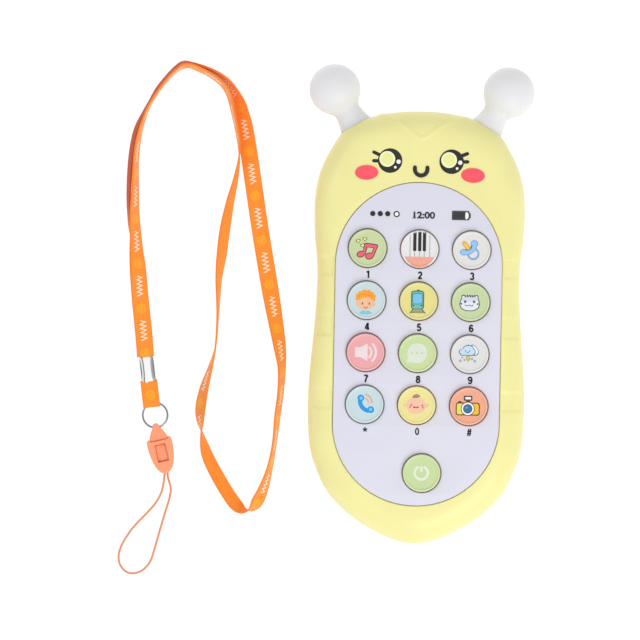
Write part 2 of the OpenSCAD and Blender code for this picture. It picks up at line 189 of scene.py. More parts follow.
# ------------------------------------------------------------------ materials
M = {}
M["yellow"] = Mat("yellow_shell", srgb(242, 236, 162), 0.4).plastic(700, 0.10, 0.36, 0.5)
M["yellow"].p.inputs["Subsurface Weight"].default_value = 0.12
M["yellow"].p.inputs["Subsurface Radius"].default_value = (0.004, 0.003, 0.001)
M["yellow"].p.inputs["Subsurface Scale"].default_value = 0.3
M["panel"] = Mat("face_panel", srgb(221, 220, 234), 0.42).plastic(1000, 0.06, 0.38, 0.5, 0.012)
M["antenna"] = Mat("milky_silicone", srgb(232, 232, 234), 0.5).plastic(500, 0.05, 0.42, 0.58, 0.015)
M["antenna"].p.inputs["Subsurface Weight"].default_value = 0.6
M["antenna"].p.inputs["Subsurface Radius"].default_value = (0.006, 0.006, 0.006)
M["antenna"].p.inputs["Subsurface Scale"].default_value = 0.5
M["buckle"] = Mat("buckle_plastic", srgb(255, 160, 118), 0.38).plastic(900, 0.1, 0.3, 0.45)
M["buckle_dark"] = Mat("buckle_slot", srgb(240, 122, 70), 0.5).plastic(900, 0.1, 0.4, 0.55)
M["dark"] = Mat("print_black", srgb(24, 24, 21), 0.5).vary(0.06, 300)
M["ink"] = Mat("print_grey_black", srgb(10, 10, 16), 0.5).vary(0.06, 300)
M["cheek"] = Mat("print_cheek", srgb(252, 86, 100), 0.4).vary(0.03, 200)
M["iris"] = Mat("print_iris", srgb(236, 238, 160), 0.4).vary(0.03, 200)
M["rim"] = Mat("print_light_rim", srgb(248, 248, 196), 0.4).vary(0.02, 200)
M["white"] = Mat("print_white", srgb(250, 250, 248), 0.4).vary(0.02, 200)
M["chrome"] = Mat("polished_steel", (0.80, 0.80, 0.82, 1), 0.18, Metallic=1.0)
M["chrome"].bump(M["chrome"].noise(1500, 3), 0.08, 0.00003)
M["steel"] = Mat("zinc_plate", (0.62, 0.62, 0.64, 1), 0.32, Metallic=1.0)
M["steel"].bump(M["steel"].noise(2500, 3), 0.15, 0.00003)


def ink(name, *rgb):
    key = "ink_" + name
    if key not in M:
        M[key] = Mat("print_" + name, srgb(*rgb), 0.4).vary(0.025, 250)
    return M[key]


# ------------------------------------------------------------------ mesh helpers
def new_obj(name, verts, faces, mats, body, smooth=True, mat_ids=None):
    me = bpy.data.meshes.new(name)
    me.from_pydata([tuple(float(c) * MM for c in v) for v in verts], [], [tuple(int(i) for i in f) for f in faces])
    for m in mats if isinstance(mats, (list, tuple)) else [mats]:
        me.materials.append(m.m)
    if mat_ids is not None:
        me.polygons.foreach_set("material_index", mat_ids)
    me.polygons.foreach_set("use_smooth", [smooth] * len(me.polygons))
    me.validate()
    me.update()
    ob = bpy.data.objects.new(name, me)
    SC.collection.objects.link(ob)
    if body:
        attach(ob, body)
    return ob


def tidy(ob, angle=32, merge=0.0, recalc=True):
    """Fixes normals and marks the edges sharper than an angle, so the rest shades smooth."""
    bm = bmesh.new()
    bm.from_mesh(ob.data)
    if merge:
        bmesh.ops.remove_doubles(bm, verts=bm.verts, dist=merge)
    if recalc:
        bmesh.ops.recalc_face_normals(bm, faces=bm.faces)
    a = math.radians(angle)
    for f in bm.faces:
        f.smooth = True
    for e in bm.edges:
        if len(e.link_faces) == 2:
            e.smooth = e.calc_face_angle(0) < a
    bm.to_mesh(ob.data)
    bm.free()
    return ob


def boolean(ob, cutters, op="DIFFERENCE"):
    for c in cutters:
        m = ob.modifiers.new("b", "BOOLEAN")
        m.operation = op
        m.object = c
        m.solver = "MANIFOLD"
    before = len(ob.data.vertices)
    keep_ = ob.data.copy()
    apply_mods(ob)
    if len(ob.data.vertices) in (0, before):  # not closed: fall back on the exact solver
        ob.data = keep_
        for c in cutters:
            m = ob.modifiers.new("b", "BOOLEAN")
            m.operation = op
            m.object = c
            m.solver = "EXACT"
            m.use_self = True
        apply_mods(ob)
    for c in cutters:
        me = c.data
        bpy.data.objects.remove(c)
        bpy.data.meshes.remove(me)
    return ob


def apply_mods(ob):
    dg = bpy.context.evaluated_depsgraph_get()
    dg.update()
    me = bpy.data.meshes.new_from_object(ob.evaluated_get(dg), preserve_all_data_layers=True, depsgraph=dg)
    old = ob.data
    ob.modifiers.clear()
    name = old.name
    ob.data = me
    bpy.data.meshes.remove(old)
    me.name = name
    return ob


def lathe(profile, at, axis_rot=None, n=96, name="lathe", mats=None, body=None, mat_of=None):
    """Turns (r, z) pairs round Z, then places it. The first and last points lie on the axis."""
    verts, faces, ids = [], [], []
    rings = []
    for r, z in profile:
        if r < 1e-6:
            rings.append([len(verts)])
            verts.append((0, 0, z))
        else:
            rings.append(list(range(len(verts), len(verts) + n)))
            verts += [(r * math.cos(2 * math.pi * k / n), r * math.sin(2 * math.pi * k / n), z) for k in range(n)]
    for i in range(len(rings) - 1):
        a, b = rings[i], rings[i + 1]
        mid = mat_of(i) if mat_of else 0
        for k in range(n):
            k2 = (k + 1) % n
            if len(a) == 1 and len(b) == 1:
                continue
            if len(a) == 1:
                f = (a[0], b[k2], b[k])
            elif len(b) == 1:
                f = (a[k], a[k2], b[0])
            else:
                f = (a[k], a[k2], b[k2], b[k])
            faces.append(f)
            ids.append(mid)
    mtx = Matrix.Translation(Vector(at)) @ (axis_rot or Matrix.Identity(4))
    verts = [tuple(mtx @ Vector(v)) for v in verts]
    ob = new_obj(name, verts, faces, mats, body, True, ids)
    return tidy(ob, 40)


def arc_pts(cx, cy, r, a0, a1, n=8):
    return [(cx + r * math.cos(math.radians(a0 + (a1 - a0) * i / n)), cy + r * math.sin(math.radians(a0 + (a1 - a0) * i / n))) for i in range(n + 1)]


def catmull(p, k):
    """Smooth points through p, k to a span; p is an array (n, d)."""
    p = np.asarray(p, float)
    out = []
    for i in range(len(p) - 1):
        a, b, c, d = p[max(i - 1, 0)], p[i], p[i + 1], p[min(i + 2, len(p) - 1)]
        for j in range(k):
            t = j / k
            out.append(0.5 * (2 * b + (c - a) * t + (2 * a - 5 * b + 4 * c - d) * t * t + (3 * b - a - 3 * c + d) * t**3))
    out.append(p[-1])
    return np.array(out)


def resample(p, step=None, n=None):
    p = np.asarray(p, float)
    s = np.concatenate([[0], np.cumsum(np.linalg.norm(np.diff(p[:, :3], axis=0), axis=1))])
    n = n or int(round(s[-1] / step)) + 1
    t = np.linspace(0, s[-1], n)
    return np.stack([np.interp(t, s, p[:, i]) for i in range(p.shape[1])], 1), t


# ------------------------------------------------------------------ the body's outline and the shells
HALF = [(0, 81), (10, 80.4), (19, 78.5), (25.5, 75.8), (30, 72), (33.5, 66.5), (36.5, 60.5), (38.5, 54),
        (39.4, 46), (39.2, 35), (38, 22), (38.2, 8), (39.2, -6), (40.3, -20), (40.5, -33), (39.6, -45),
        (37.3, -53), (33.5, -61), (28, -67.5), (21, -73), (13, -77.5), (6, -80.2), (0, -81)]
_h = [(-x, y) for x, y in HALF[1:3][::-1]] + HALF + [(-x, y) for x, y in HALF[-3:-1][::-1]]
_c = catmull(np.array(_h), 24)
_c = _c[2 * 24: len(_c) - 2 * 24]
_c, _ = resample(np.c_[_c, np.zeros(len(_c))], n=361)
right = _c[:, :2]
right[0, 0] = right[-1, 0] = 0
outline = np.vstack([right, (right * [-1, 1])[-2:0:-1]])  # clockwise from the middle of the head
N = len(outline)


def panel_line(g, step=0.5):
    pts = [((31.2 + g) * math.cos(math.radians(a)), 23.5 + (30.8 + g) * math.sin(math.radians(a))) for a in np.arange(0, 180.01, step)]
    pts += [((31.2 + g) * math.cos(math.radians(a)), -36 + (30.8 + g) * math.sin(math.radians(a))) for a in np.arange(180, 360.01, step)]
    pts.append(pts[0])
    p, _ = resample(np.c_[np.array(pts), np.zeros(len(pts))], n=4001)
    return p[:-1, :2]


seat = panel_line(0.2)
idx = np.array([np.argmin(((seat - p) ** 2).sum(1)) for p in outline])
# spread the nearest points evenly, so that no two columns share one
un = np.unwrap(idx * 2 * math.pi / len(seat)) / (2 * math.pi) * len(seat)
ker = np.hanning(41)
ker /= ker.sum()
drift = un - (un[0] + np.arange(N) * (un[-1] - un[0] + np.sign(un[-1] - un[0]) * abs(un[1] - un[0])) / N)
un = un - drift + np.convolve(np.r_[drift[-20:], drift, drift[:20]], ker, "valid")
q_all = np.stack([np.interp(un % len(seat), np.arange(len(seat) + 1), np.r_[seat[:, k], seat[0, k]]) for k in (0, 1)], 1)
D = np.linalg.norm(outline - q_all, axis=1)
DIR = (q_all - outline) / D[:, None]

BANDS = [(19, 26), (-3.5, 4), (-31, -23.6)]


def band(y, edge=0.35):
    g = np.zeros_like(y)
    for lo, hi in BANDS:
        g = np.maximum(g, np.clip((y - lo) / edge + 0.5, 0, 1) * np.clip((hi - y) / edge + 0.5, 0, 1))
    return g * g * (3 - 2 * g)


CREASE = np.array([(-17, 80.3), (-13.6, 79.0), (-8.1, 76.8), (-3.6, 73.2), (-1.2, 71.4), (0.4, 70.9), (2.2, 71.7), (6.3, 74.8), (10.3, 76.8), (13.8, 78.1), (18, 79.3)])
CREASE = catmull(CREASE, 8)


def crease(xy):
    """How strongly a point lies on the moulded hairline on the forehead."""
    m = (xy[:, 1] > 64) & (np.abs(xy[:, 0]) < 22)
    g = np.zeros(len(xy))
    if m.any():
        p = xy[m]
        best = np.full(len(p), 1e9)
        for a, b in zip(CREASE[:-1], CREASE[1:]):
            ab = b - a
            t = np.clip(((p - a) @ ab) / (ab @ ab), 0, 1)
            best = np.minimum(best, np.linalg.norm(p - (a + t[:, None] * ab), axis=1))
        g[m] = np.exp(-((best / 0.62) ** 2)) * np.clip((21 - np.abs(p[:, 0])) / 6, 0, 1)
    return g


SEAM = 15.0
TOP = 28.0


def front_path(d, k=54):
    """Points (x, z) across the front shell from the seam to the panel's seat, d away."""
    ph = np.linspace(0, math.pi / 2, 200)
    x = 12 * (1 - np.cos(ph) ** (2 / 2.55))
    z = SEAM + 0.14 + (TOP - SEAM - 0.14) * np.sin(ph) ** (2 / 2.55)
    if d > 12:
        x = np.r_[x, np.linspace(12.2, d, 60)]
        z = np.r_[z, np.full(60, TOP)]
    keep = x < d
    zd = np.interp(d, x, z)
    x, z = np.r_[x[keep], d], np.r_[z[keep], zd]
    p, _ = resample(np.c_[x, z, np.zeros(len(x))], n=k)
    return p[:, 0], p[:, 1]


def front_shell():
    K = 84
    cols = []
    for i in range(N):
        x, z = front_path(D[i], K)
        e = 0.28  # rounding where the shell turns down to the panel's seat
        x2, z2 = x.copy(), z.copy()
        lip = [(D[i] - 0.05, z[-1] - 0.06), (D[i], z[-1] - 0.2), (D[i] + 0.02, z[-1] - 0.6), (D[i] + 0.02, 26.78), (D[i] + 1.75, 26.78), (D[i] + 1.75, 25.2)]
        x2[-1] = D[i] - 0.28
        inner = [(D[i] - 1, 25.1)]
        for xx, zz in ((7.0, 24.8), (5.4, 24.0), (4.2, 22.8), (3.2, 21), (2.6, 19.2), (2.25, 17.2), (2.15, SEAM + 0.14)):
            if xx < D[i] - 1.3:
                inner.append((xx, zz))
            else:
                inner.append((D[i] - 1.3, min(zz, 25.0)))
        rim = [(0.35, SEAM + 0.14), (0.12, SEAM + 0.2)]
        x2[0], z2[0] = 0.02, SEAM + 0.45
        cols.append([*zip(x2, z2), *lip, *inner, *rim])
    L = len(cols[0])
    P = np.array(cols)  # N, L, 2
    pts = np.empty((N, L, 3))
    pts[:, :, :2] = outline[:, None, :] + DIR[:, None, :] * P[:, :, :1]
    pts[:, :, 2] = P[:, :, 1]
    # shallow bands round the flanks and the moulded hairline on the forehead
    nrm = np.zeros((N, K, 3))
    du = np.roll(pts[:, :K], -1, 0) - np.roll(pts[:, :K], 1, 0)
    dv = np.gradient(pts[:, :K], axis=1)
    nrm = np.cross(du, dv)
    nrm /= np.maximum(np.linalg.norm(nrm, axis=2, keepdims=True), 1e-9)
    if (nrm[:, K // 2, 2] < 0).mean() > 0.5:
        nrm = -nrm
    xd = P[:, :K, 0]
    fade = np.clip((D[:, None] - xd - 0.5) / 0.5, 0, 1) * np.clip((xd - 0.25) / 1.1, 0, 1)
    g = band(pts[:, :K, 1]) * fade
    pts[:, :K] -= nrm * (0.42 * g)[:, :, None]
    c = crease(pts[:, :K, :2].reshape(-1, 2)).reshape(N, K)
    pts[:, :K] += nrm * (0.38 * c)[:, :, None]
    pts[:, :, 1] += YO
    verts = pts.reshape(-1, 3)
    faces = []
    for i in range(N):
        j = (i + 1) % N
        for k in range(L):
            k2 = (k + 1) % L
            faces.append((i * L + k, j * L + k, j * L + k2, i * L + k2))
    ob = new_obj("front_shell_skin", verts, faces, M["yellow"], "phone")
    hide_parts("front_shell")
    return tidy(ob, 38)


def ring_scaled(d):
    return np.c_[outline[:, 0] * (1 - d / 40.5), outline[:, 1] * (1 - d / 81)]


def box_obj(x0, x1, y0, y1, z0, z1, bevel=0.0, segs=2, name="cut"):
    ob = new_obj(name, [(x, y, z) for z in (z0, z1) for y in (y0, y1) for x in (x0, x1)],
                 [(0, 2, 3, 1), (4, 5, 7, 6), (0, 1, 5, 4), (2, 6, 7, 3), (0, 4, 6, 2), (1, 3, 7, 5)], M["yellow"], None, False)
    if bevel:
        bm = bmesh.new()
        bm.from_mesh(ob.data)
        bmesh.ops.bevel(bm, geom=list(bm.edges), offset=bevel * MM, segments=segs, profile=0.5, affect="EDGES")
        bm.to_mesh(ob.data)
        bm.free()
    return ob


def cyl_obj(r, z0, z1, at=(0, 0, 0), rot=None, n=48, name="cut"):
    return lathe([(0, z0), (r, z0), (r, z1), (0, z1)], at, rot, n, name, M["yellow"], None)


def rear_shell():
    n2 = N // 2
    pick = np.arange(0, N, 2)
    lev = []
    ph = np.linspace(math.pi / 2, 0, 26)
    for a in ph:  # from the flat bottom up to the seam
        lev.append((9 * (1 - math.cos(a) ** (2 / 2.8)), (SEAM - 0.14) * (1 - math.sin(a) ** (2 / 2.8))))
    lev = [(x, z) for x, z in lev]
    lev[-1] = (0.02, SEAM - 0.45)
    lev += [(0.12, SEAM - 0.2), (0.35, SEAM - 0.14), (2.1, SEAM - 0.14), (2.2, 10.5), (2.7, 7.2), (3.7, 4.6), (5.4, 3), (7.5, 2.1), (10, 2.0)]
    rings = []
    for x, z in lev:
        r = ring_scaled(x)[pick]
        rings.append(np.c_[r, np.full(len(r), z)])
    P = np.array(rings)  # L, n, 3
    outer = 26 + 2
    g = band(P[:outer, :, 1]) * np.clip((P[:outer, :, 2] - 3) / 3, 0, 1)
    out = P[:outer, :, :2] / np.maximum(np.linalg.norm(P[:outer, :, :2] * [2.0, 1], axis=2, keepdims=True), 1e-6) * [2.0, 1]
    P[:outer, :, 0] -= np.sign(P[:outer, :, 0]) * 0.42 * g * np.clip(np.abs(P[:outer, :, 0]) / 20, 0, 1)
    L, n = P.shape[0], P.shape[1]
    P[:, :, 1] += YO
    verts = P.reshape(-1, 3)
    faces = [tuple(range(n))]
    for l in range(L - 1):
        for k in range(n):
            k2 = (k + 1) % n
            faces.append((l * n + k, (l + 1) * n + k, (l + 1) * n + k2, l * n + k2))
    faces.append(tuple((L - 1) * n + k for k in reversed(range(n))))
    ob = new_obj("rear_shell_skin", verts, faces, M["yellow"], "phone")
    tidy(ob, 180)
    dw, hy, dy = 13.0, -52 + YO, 9 + YO
    adds = [box_obj(-15.5, 15.5, hy - 3.5, dy + 2.5, 1, 4.6), box_obj(-13.1, 13.1, -50.4 + YO, 2.4 + YO, 1.5, 14.6),
            cyl_obj(3.4, 1, 10.5, (0, 5 + YO, 0)), box_obj(-7, 7, -76 + YO, -64 + YO, 1.9, 7.7)]
    bosses = [(27, 54), (-27, 54), (22, -62), (-22, -62)]
    adds += [cyl_obj(4.2, 1.9, 13, (x, y + YO, 0)) for x, y in bosses]
    boolean(ob, adds, "UNION")
    rx = Matrix.Rotation(math.radians(90), 4, "Y")
    cuts = [box_obj(-11.7, 11.7, -49 + YO, 1 + YO, -1, 13.2, 0.3), box_obj(-dw - 0.25, dw + 0.25, hy, dy + 0.3, -1, 2.3, 0.12),
            cyl_obj(1.25, -dw - 0.25, dw + 0.25, (0, hy, 1.1), rx), box_obj(-dw - 0.25, dw + 0.25, hy - 1.25, hy + 0.1, -1, 1.1),
            cyl_obj(1.95, 0, 9.2, (0, 5 + YO, 0))]
    for x, y in bosses:
        cuts += [lathe([(0, -1), (3.4, -1), (3.4, -0.2), (3.0, 0.9), (3.0, 5), (1.5, 5.01), (1.5, 14), (0, 14)], (x, y + YO, 0), None, 48, "cut", M["yellow"], None)]
    boolean(ob, cuts)
    pocket = box_obj(-5, 5, -74 + YO, -66 + YO, -1, 6.2, 0.4)
    boolean(ob, [pocket])
    holes = [(0, 46)] + [(4 * math.cos(math.radians(a)), 46 + 4 * math.sin(math.radians(a))) for a in range(0, 360, 60)]
    holes += [(8 * math.cos(math.radians(a)), 46 + 8 * math.sin(math.radians(a))) for a in range(0, 360, 30)]
    cut = lathe([(0, -1), (1.25, -1), (1.25, -0.02), (0.9, 0.35), (0.9, 3), (0, 3)], (holes[0][0], holes[0][1] + YO, 0), None, 28, "cut", M["yellow"], None)
    bm = bmesh.new()
    bm.from_mesh(cut.data)
    geo = list(bm.verts) + list(bm.edges) + list(bm.faces)
    for x, y in holes[1:]:
        r = bmesh.ops.duplicate(bm, geom=geo)
        bmesh.ops.translate(bm, verts=[v for v in r["geom"] if isinstance(v, bmesh.types.BMVert)], vec=((x - holes[0][0]) * MM, (y - holes[0][1]) * MM, 0))
    bm.to_mesh(cut.data)
    bm.free()
    boolean(ob, [cut])
    tidy(ob, 34, recalc=False)
    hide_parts("rear_shell")
    # the lanyard bar across its pocket
    bar = lathe([(0, -5.6), (1.2, -5.6), (1.2, 5.6), (0, 5.6)], (0, -70 + YO, 1.5), rx, 40, "lanyard_bar", M["yellow"], "phone")
    return ob


front = front_shell()
rear = rear_shell()

# ------------------------------------------------------------------ flat shapes: plates with rounded edges and prints
def plate(name, loops, z0, z1, bevel, mats, body, res=2):
    """A flat plate with holes and rounded edges, from closed outlines in mm."""
    cu = bpy.data.curves.new(name, "CURVE")
    cu.dimensions = "2D"
    cu.fill_mode = "BOTH"
    for loop in loops:
        s = cu.splines.new("POLY")
        s.points.add(len(loop) - 1)
        for p, (x, y) in zip(s.points, loop):
            p.co = (x * MM, y * MM, 0, 1)
        s.use_cyclic_u = True
    cu.extrude = ((z1 - z0) / 2 - bevel) * MM
    cu.bevel_depth = bevel * MM
    cu.bevel_resolution = res
    cu.offset = -bevel * MM
    tmp = bpy.data.objects.new(name, cu)
    SC.collection.objects.link(tmp)
    dg = bpy.context.evaluated_depsgraph_get()
    dg.update()
    me = bpy.data.meshes.new_from_object(tmp.evaluated_get(dg), depsgraph=dg)
    bpy.data.objects.remove(tmp)
    bpy.data.curves.remove(cu)
    me.name = name
    me.transform(Matrix.Translation((0, 0, (z0 + z1) / 2 * MM)))
    me.materials.clear()
    for m in mats if isinstance(mats, (list, tuple)) else [mats]:
        me.materials.append(m.m)
    ob = bpy.data.objects.new(name, me)
    SC.collection.objects.link(ob)
    if body:
        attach(ob, body)
    return tidy(ob, 32, merge=1e-6)


def circ(cx, cy, r, n=40):
    return [(cx + r * math.cos(2 * math.pi * i / n), cy + r * math.sin(2 * math.pi * i / n)) for i in range(n)]


def ell(cx, cy, rx, ry, rot=0, n=48):
    c, s = math.cos(math.radians(rot)), math.sin(math.radians(rot))
    return [(cx + rx * math.cos(t) * c - ry * math.sin(t) * s, cy + rx * math.cos(t) * s + ry * math.sin(t) * c) for t in (2 * math.pi * i / n for i in range(n))]


def rrect(x0, y0, x1, y1, r, n=6):
    p = []
    for cx, cy, a in ((x1 - r, y1 - r, 0), (x0 + r, y1 - r, 90), (x0 + r, y0 + r, 180), (x1 - r, y0 + r, 270)):
        p += arc_pts(cx, cy, r, a, a + 90, n)
    return p


def stroke(pts, w, cap=True, n=6):
    """The outline of a line of width w through pts, with round ends."""
    p = np.array(pts, float)
    t = np.gradient(p, axis=0)
    t /= np.linalg.norm(t, axis=1)[:, None]
    nn = np.c_[-t[:, 1], t[:, 0]] * w / 2
    a0 = math.degrees(math.atan2(nn[-1][1], nn[-1][0]))
    a1 = math.degrees(math.atan2(-nn[0][1], -nn[0][0]))
    left = [tuple(x) for x in p + nn]
    right_ = [tuple(x) for x in (p - nn)[::-1]]
    e = arc_pts(*p[-1], w / 2, a0, a0 - 180, n)[1:-1] if cap else []
    s = arc_pts(*p[0], w / 2, a1, a1 - 180, n)[1:-1] if cap else []
    return left + e + right_ + s


def smooth_line(pts, k=6):
    return [tuple(x) for x in catmull(np.array([(x, y, 0) for x, y in pts]), k)[:, :2]]


def blob(pts, k=6):
    """A closed smooth outline through pts."""
    p = [*pts[-2:], *pts, *pts[:3]]
    c = catmull(np.array([(x, y, 0) for x, y in p]), k)
    return [tuple(x) for x in c[2 * k: (2 + len(pts)) * k, :2]]


def heart(cx, cy, s, rot=0, n=24):
    out = []
    c, sn = math.cos(math.radians(rot)), math.sin(math.radians(rot))
    for i in range(n):
        t = 2 * math.pi * i / n
        x = 16 * math.sin(t) ** 3 / 17
        y = (13 * math.cos(t) - 5 * math.cos(2 * t) - 2 * math.cos(3 * t) - math.cos(4 * t)) / 17
        out.append((cx + s * (x * c - y * sn), cy + s * (x * sn + y * c)))
    return out


def clip_circle(pts, r):
    """Pulls points outside a circle about the origin onto it."""
    return [(x * r / math.hypot(x, y), y * r / math.hypot(x, y)) if math.hypot(x, y) > r else (x, y) for x, y in pts]


def prints(name, shapes, at, z, body, on=None, step=0.02, fine=None):
    """Thin printed shapes, each (loops, material), laid on top of each other at a height or on a surface."""
    bm = bmesh.new()
    mats = []
    for order, (loops, mat) in enumerate(shapes):
        if loops and isinstance(loops[0][0], (int, float)):
            loops = [loops]
        if mat not in mats:
            mats.append(mat)
        mid = mats.index(mat)
        vv = [[Vector(((x + at[0]), (y + at[1]), 0)) for x, y in lp] for lp in loops]
        tris = tessellate_polygon(vv)
        flat = [v for lp in vv for v in lp]
        part = bmesh.new()
        bv = [part.verts.new(v) for v in flat]
        for t in tris:
            try:
                part.faces.new([bv[i] for i in t])
            except ValueError:
                pass
        bmesh.ops.remove_doubles(part, verts=part.verts, dist=1e-4)
        for f in part.faces:
            f.normal_update()
            if f.normal.z < 0:
                f.normal_flip()
        if fine:
            for _ in range(4):
                long_ = [e for e in part.edges if e.calc_length() > fine]
                if not long_:
                    break
                bmesh.ops.subdivide_edges(part, edges=long_, cuts=1)
                bmesh.ops.triangulate(part, faces=part.faces)
        lift = 0.03 + step * order
        top = {}
        for v in part.verts:
            if on is not None:
                hit = on.ray_cast(Vector((v.co.x * MM, v.co.y * MM, 0.05)), Vector((0, 0, -1)))
                base = hit[0].z / MM if hit[0] else z
            else:
                base = z
            top[v] = (bm.verts.new((v.co.x * MM, v.co.y * MM, (base + lift) * MM)), bm.verts.new((v.co.x * MM, v.co.y * MM, (base - 0.05) * MM)))
        for f in part.faces:
            a = bm.faces.new([top[v][0] for v in f.verts])
            b = bm.faces.new([top[v][1] for v in reversed(f.verts)])
            a.material_index = b.material_index = mid
        for e in part.edges:
            if len(e.link_faces) == 1:
                l = [l for l in e.link_faces[0].loops if l.edge == e][0]
                v0, v1 = l.vert, l.link_loop_next.vert
                f = bm.faces.new([top[v1][0], top[v0][0], top[v0][1], top[v1][1]])
                f.material_index = mid
        part.free()
    me = bpy.data.meshes.new(name)
    bm.to_mesh(me)
    bm.free()
    for m in mats:
        me.materials.append(m.m)
    ob = bpy.data.objects.new(name, me)
    SC.collection.objects.link(ob)
    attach(ob, body)
    return ob


def text_loops(txt, height, cx, cy, bold=0.0, width=1.0):
    """Outlines of generic numerals from Blender's own font, as loops in mm, centred on a point."""
    cu = bpy.data.curves.new("t", "FONT")
    cu.body = txt
    cu.size = 1
    cu.offset = bold
    cu.resolution_u = 6
    cu.align_x = "LEFT"
    ob = bpy.data.objects.new("t", cu)
    SC.collection.objects.link(ob)
    dg = bpy.context.evaluated_depsgraph_get()
    dg.update()
    me = bpy.data.meshes.new_from_object(ob.evaluated_get(dg), depsgraph=dg)
    bpy.data.objects.remove(ob)
    bpy.data.curves.remove(cu)
    bm = bmesh.new()
    bm.from_mesh(me)
    bpy.data.meshes.remove(me)
    bmesh.ops.remove_doubles(bm, verts=bm.verts, dist=1e-5)
    xs = [v.co.x for v in bm.verts]
    ys = [v.co.y for v in bm.verts]
    x0, x1, y0, y1 = min(xs), max(xs), min(ys), max(ys)
    k = height / (y1 - y0)
    tri = []
    for f in bm.faces:
        tri.append([(cx + (v.co.x - (x0 + x1) / 2) * k * width, cy + (v.co.y - (y0 + y1) / 2) * k) for v in f.verts])
    bm.free()
    return tri


# ------------------------------------------------------------------ face panel with its thirteen holes
KEY_X = [-19.3, 0.2, 19.7]
KEY_Y = [29.35, 9.85, -9.65, -29.15]
KEYS = {"key_1": (0, 0), "key_2": (1, 0), "key_3": (2, 0), "key_4": (0, 1), "key_5": (1, 1), "key_6": (2, 1),
        "key_7": (0, 2), "key_8": (1, 2), "key_9": (2, 2), "key_star": (0, 3), "key_0": (1, 3), "key_hash": (2, 3)}
POS = {k: (KEY_X[c], KEY_Y[r]) for k, (c, r) in KEYS.items()}
POS["power_key"] = (2.5, -54.5)
edge_line = [(x, y + YO) for x, y in panel_line(-0.1)[::12]]
holes = [circ(x, y + YO, 7.45, 72) for x, y in POS.values()]
panel = plate("face_panel_plate", [edge_line] + holes, 26.8, 28.0, 0.22, M["panel"], "phone", 3)
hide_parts("face_panel")

# ------------------------------------------------------------------ keys
R = 7.0
ZT = 30.0
CAP = [(0, 25.0), (8.0, 25.0), (8.2, 25.2), (8.2, 26.5), (7.36, 26.6), (7.36, 27.35), (R, 27.45), (R, 29.3), (6.97, 29.6), (6.88, 29.82), (6.74, 29.95), (6.58, 29.99), (6.44, 29.96), (6.34, 29.86), (6.26, 29.7), (6.16, 29.6), (5.9, 29.56), (4.5, 29.55), (3, 29.55), (1.5, 29.55), (0, 29.55)]
CAPC = {"key_1": (200, 215, 163), "key_2": (231, 230, 232), "key_3": (226, 225, 223), "key_4": (202, 218, 221), "key_5": (230, 222, 139), "key_6": (199, 216, 165), "key_7": (237, 169, 171),
        "key_8": (202, 221, 161), "key_9": (224, 224, 224), "key_star": (199, 219, 224), "key_0": (236, 226, 148), "key_hash": (239, 169, 139), "power_key": (200, 219, 161)}
for k, (x, y) in POS.items():
    c = CAPC[k]
    base = Mat("cap_" + k, srgb(*c), 0.36).plastic(1200, 0.05, 0.3, 0.42, 0.012)
    # painted highlight: the cap's side and raised rim take a lighter copy of the cap colour
    hi = tuple(min(255, v * 0.84 + 43) for v in c)
    rim_highlight_mat = Mat("cap_rim_painted_highlight_" + k, srgb(*hi), 0.34).plastic(1200, 0.05, 0.28, 0.4, 0.012)
    # painted shade: the flange and skirt under each cap take a light brown that stands for the shade down the gap round
    # the cap
    gap = ink("gap_shadow", 168, 146, 122)
    ob = lathe(CAP, (x, y + YO, 0), None, 96, k + "_cap", [base, rim_highlight_mat, gap], k + "_body", lambda i: 2 if i < 6 else (1 if 6 <= i <= 13 else 0))
    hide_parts(k)

# pictures on the caps, in mm from each key's centre
pink, darkred = ink("pink", 236, 98, 118), ink("darkred", 96, 30, 42)
ART = {}
note = [(-0.95, 1.75), (3.95, 1.15), (2.35, -2.6), (1.2, -2.6), (2.3, 0.55), (-0.25, 0.85), (-1.2, -1.9), (-2.4, -1.9)]
ART["key_1"] = [(ell(-2.5, -2.3, 1.6, 1.25, 15), darkred), (ell(0.75, -2.95, 1.65, 1.3, 15), darkred), (stroke([(-1.3, -2), (-0.55, 1.15)], 1.35), darkred), (stroke([(1.9, -2.7), (3.15, 0.75)], 1.35), darkred), (stroke([(-0.5, 1.15), (3.15, 0.75)], 1.6), darkred),
                (ell(-2.5, -2.3, 1.3, 0.95, 15), pink), (ell(0.75, -2.95, 1.35, 1.0, 15), pink), (stroke([(-1.35, -2), (-0.6, 1.1)], 0.8), pink), (stroke([(1.85, -2.7), (3.1, 0.7)], 0.8), pink), (stroke([(-0.5, 1.1), (3.1, 0.7)], 1.05), pink)]
for hx, hy, hr in ((-3.5, 2.6, 20), (-1.05, 3.35, -5), (-1.85, 0.95, 25)):
    ART["key_1"] += [(heart(hx, hy, 0.95, hr), ink("olive", 104, 100, 24)), (heart(hx, hy, 0.62, hr), ink("heart_yellow", 240, 244, 150))]
grey = ink("keyline", 150, 150, 156)
seg = [p for p in arc_pts(0, 0, 6.9, 204.5, 335.5, 32)]
ART["key_2"] = [(seg, ink("salmon", 243, 170, 146))]
for lx in (-3.6, -1.85, 0.0, 1.75, 3.8):
    h = math.sqrt(6.6**2 - (abs(lx) + 0.1) ** 2)
    ART["key_2"].append(([(lx - 0.11, -2.9), (lx + 0.11, -2.9), (lx + 0.11, h), (lx - 0.11, h)], grey))
for lx in (-1.85, 0.0, 1.75):
    h = math.sqrt(6.85**2 - (abs(lx) + 0.62) ** 2)
    ART["key_2"].append(([(lx - 0.6, h), *arc_pts(lx - 0.25, -0.4, 0.35, 180, 270, 4), *arc_pts(lx + 0.25, -0.4, 0.35, 270, 360, 4), (lx + 0.6, h)], ink("pianoblack", 34, 28, 28)))
lb, mb, db = ink("lightblue", 150, 198, 240), ink("midblue", 84, 142, 204), ink("deepblue", 66, 108, 152)
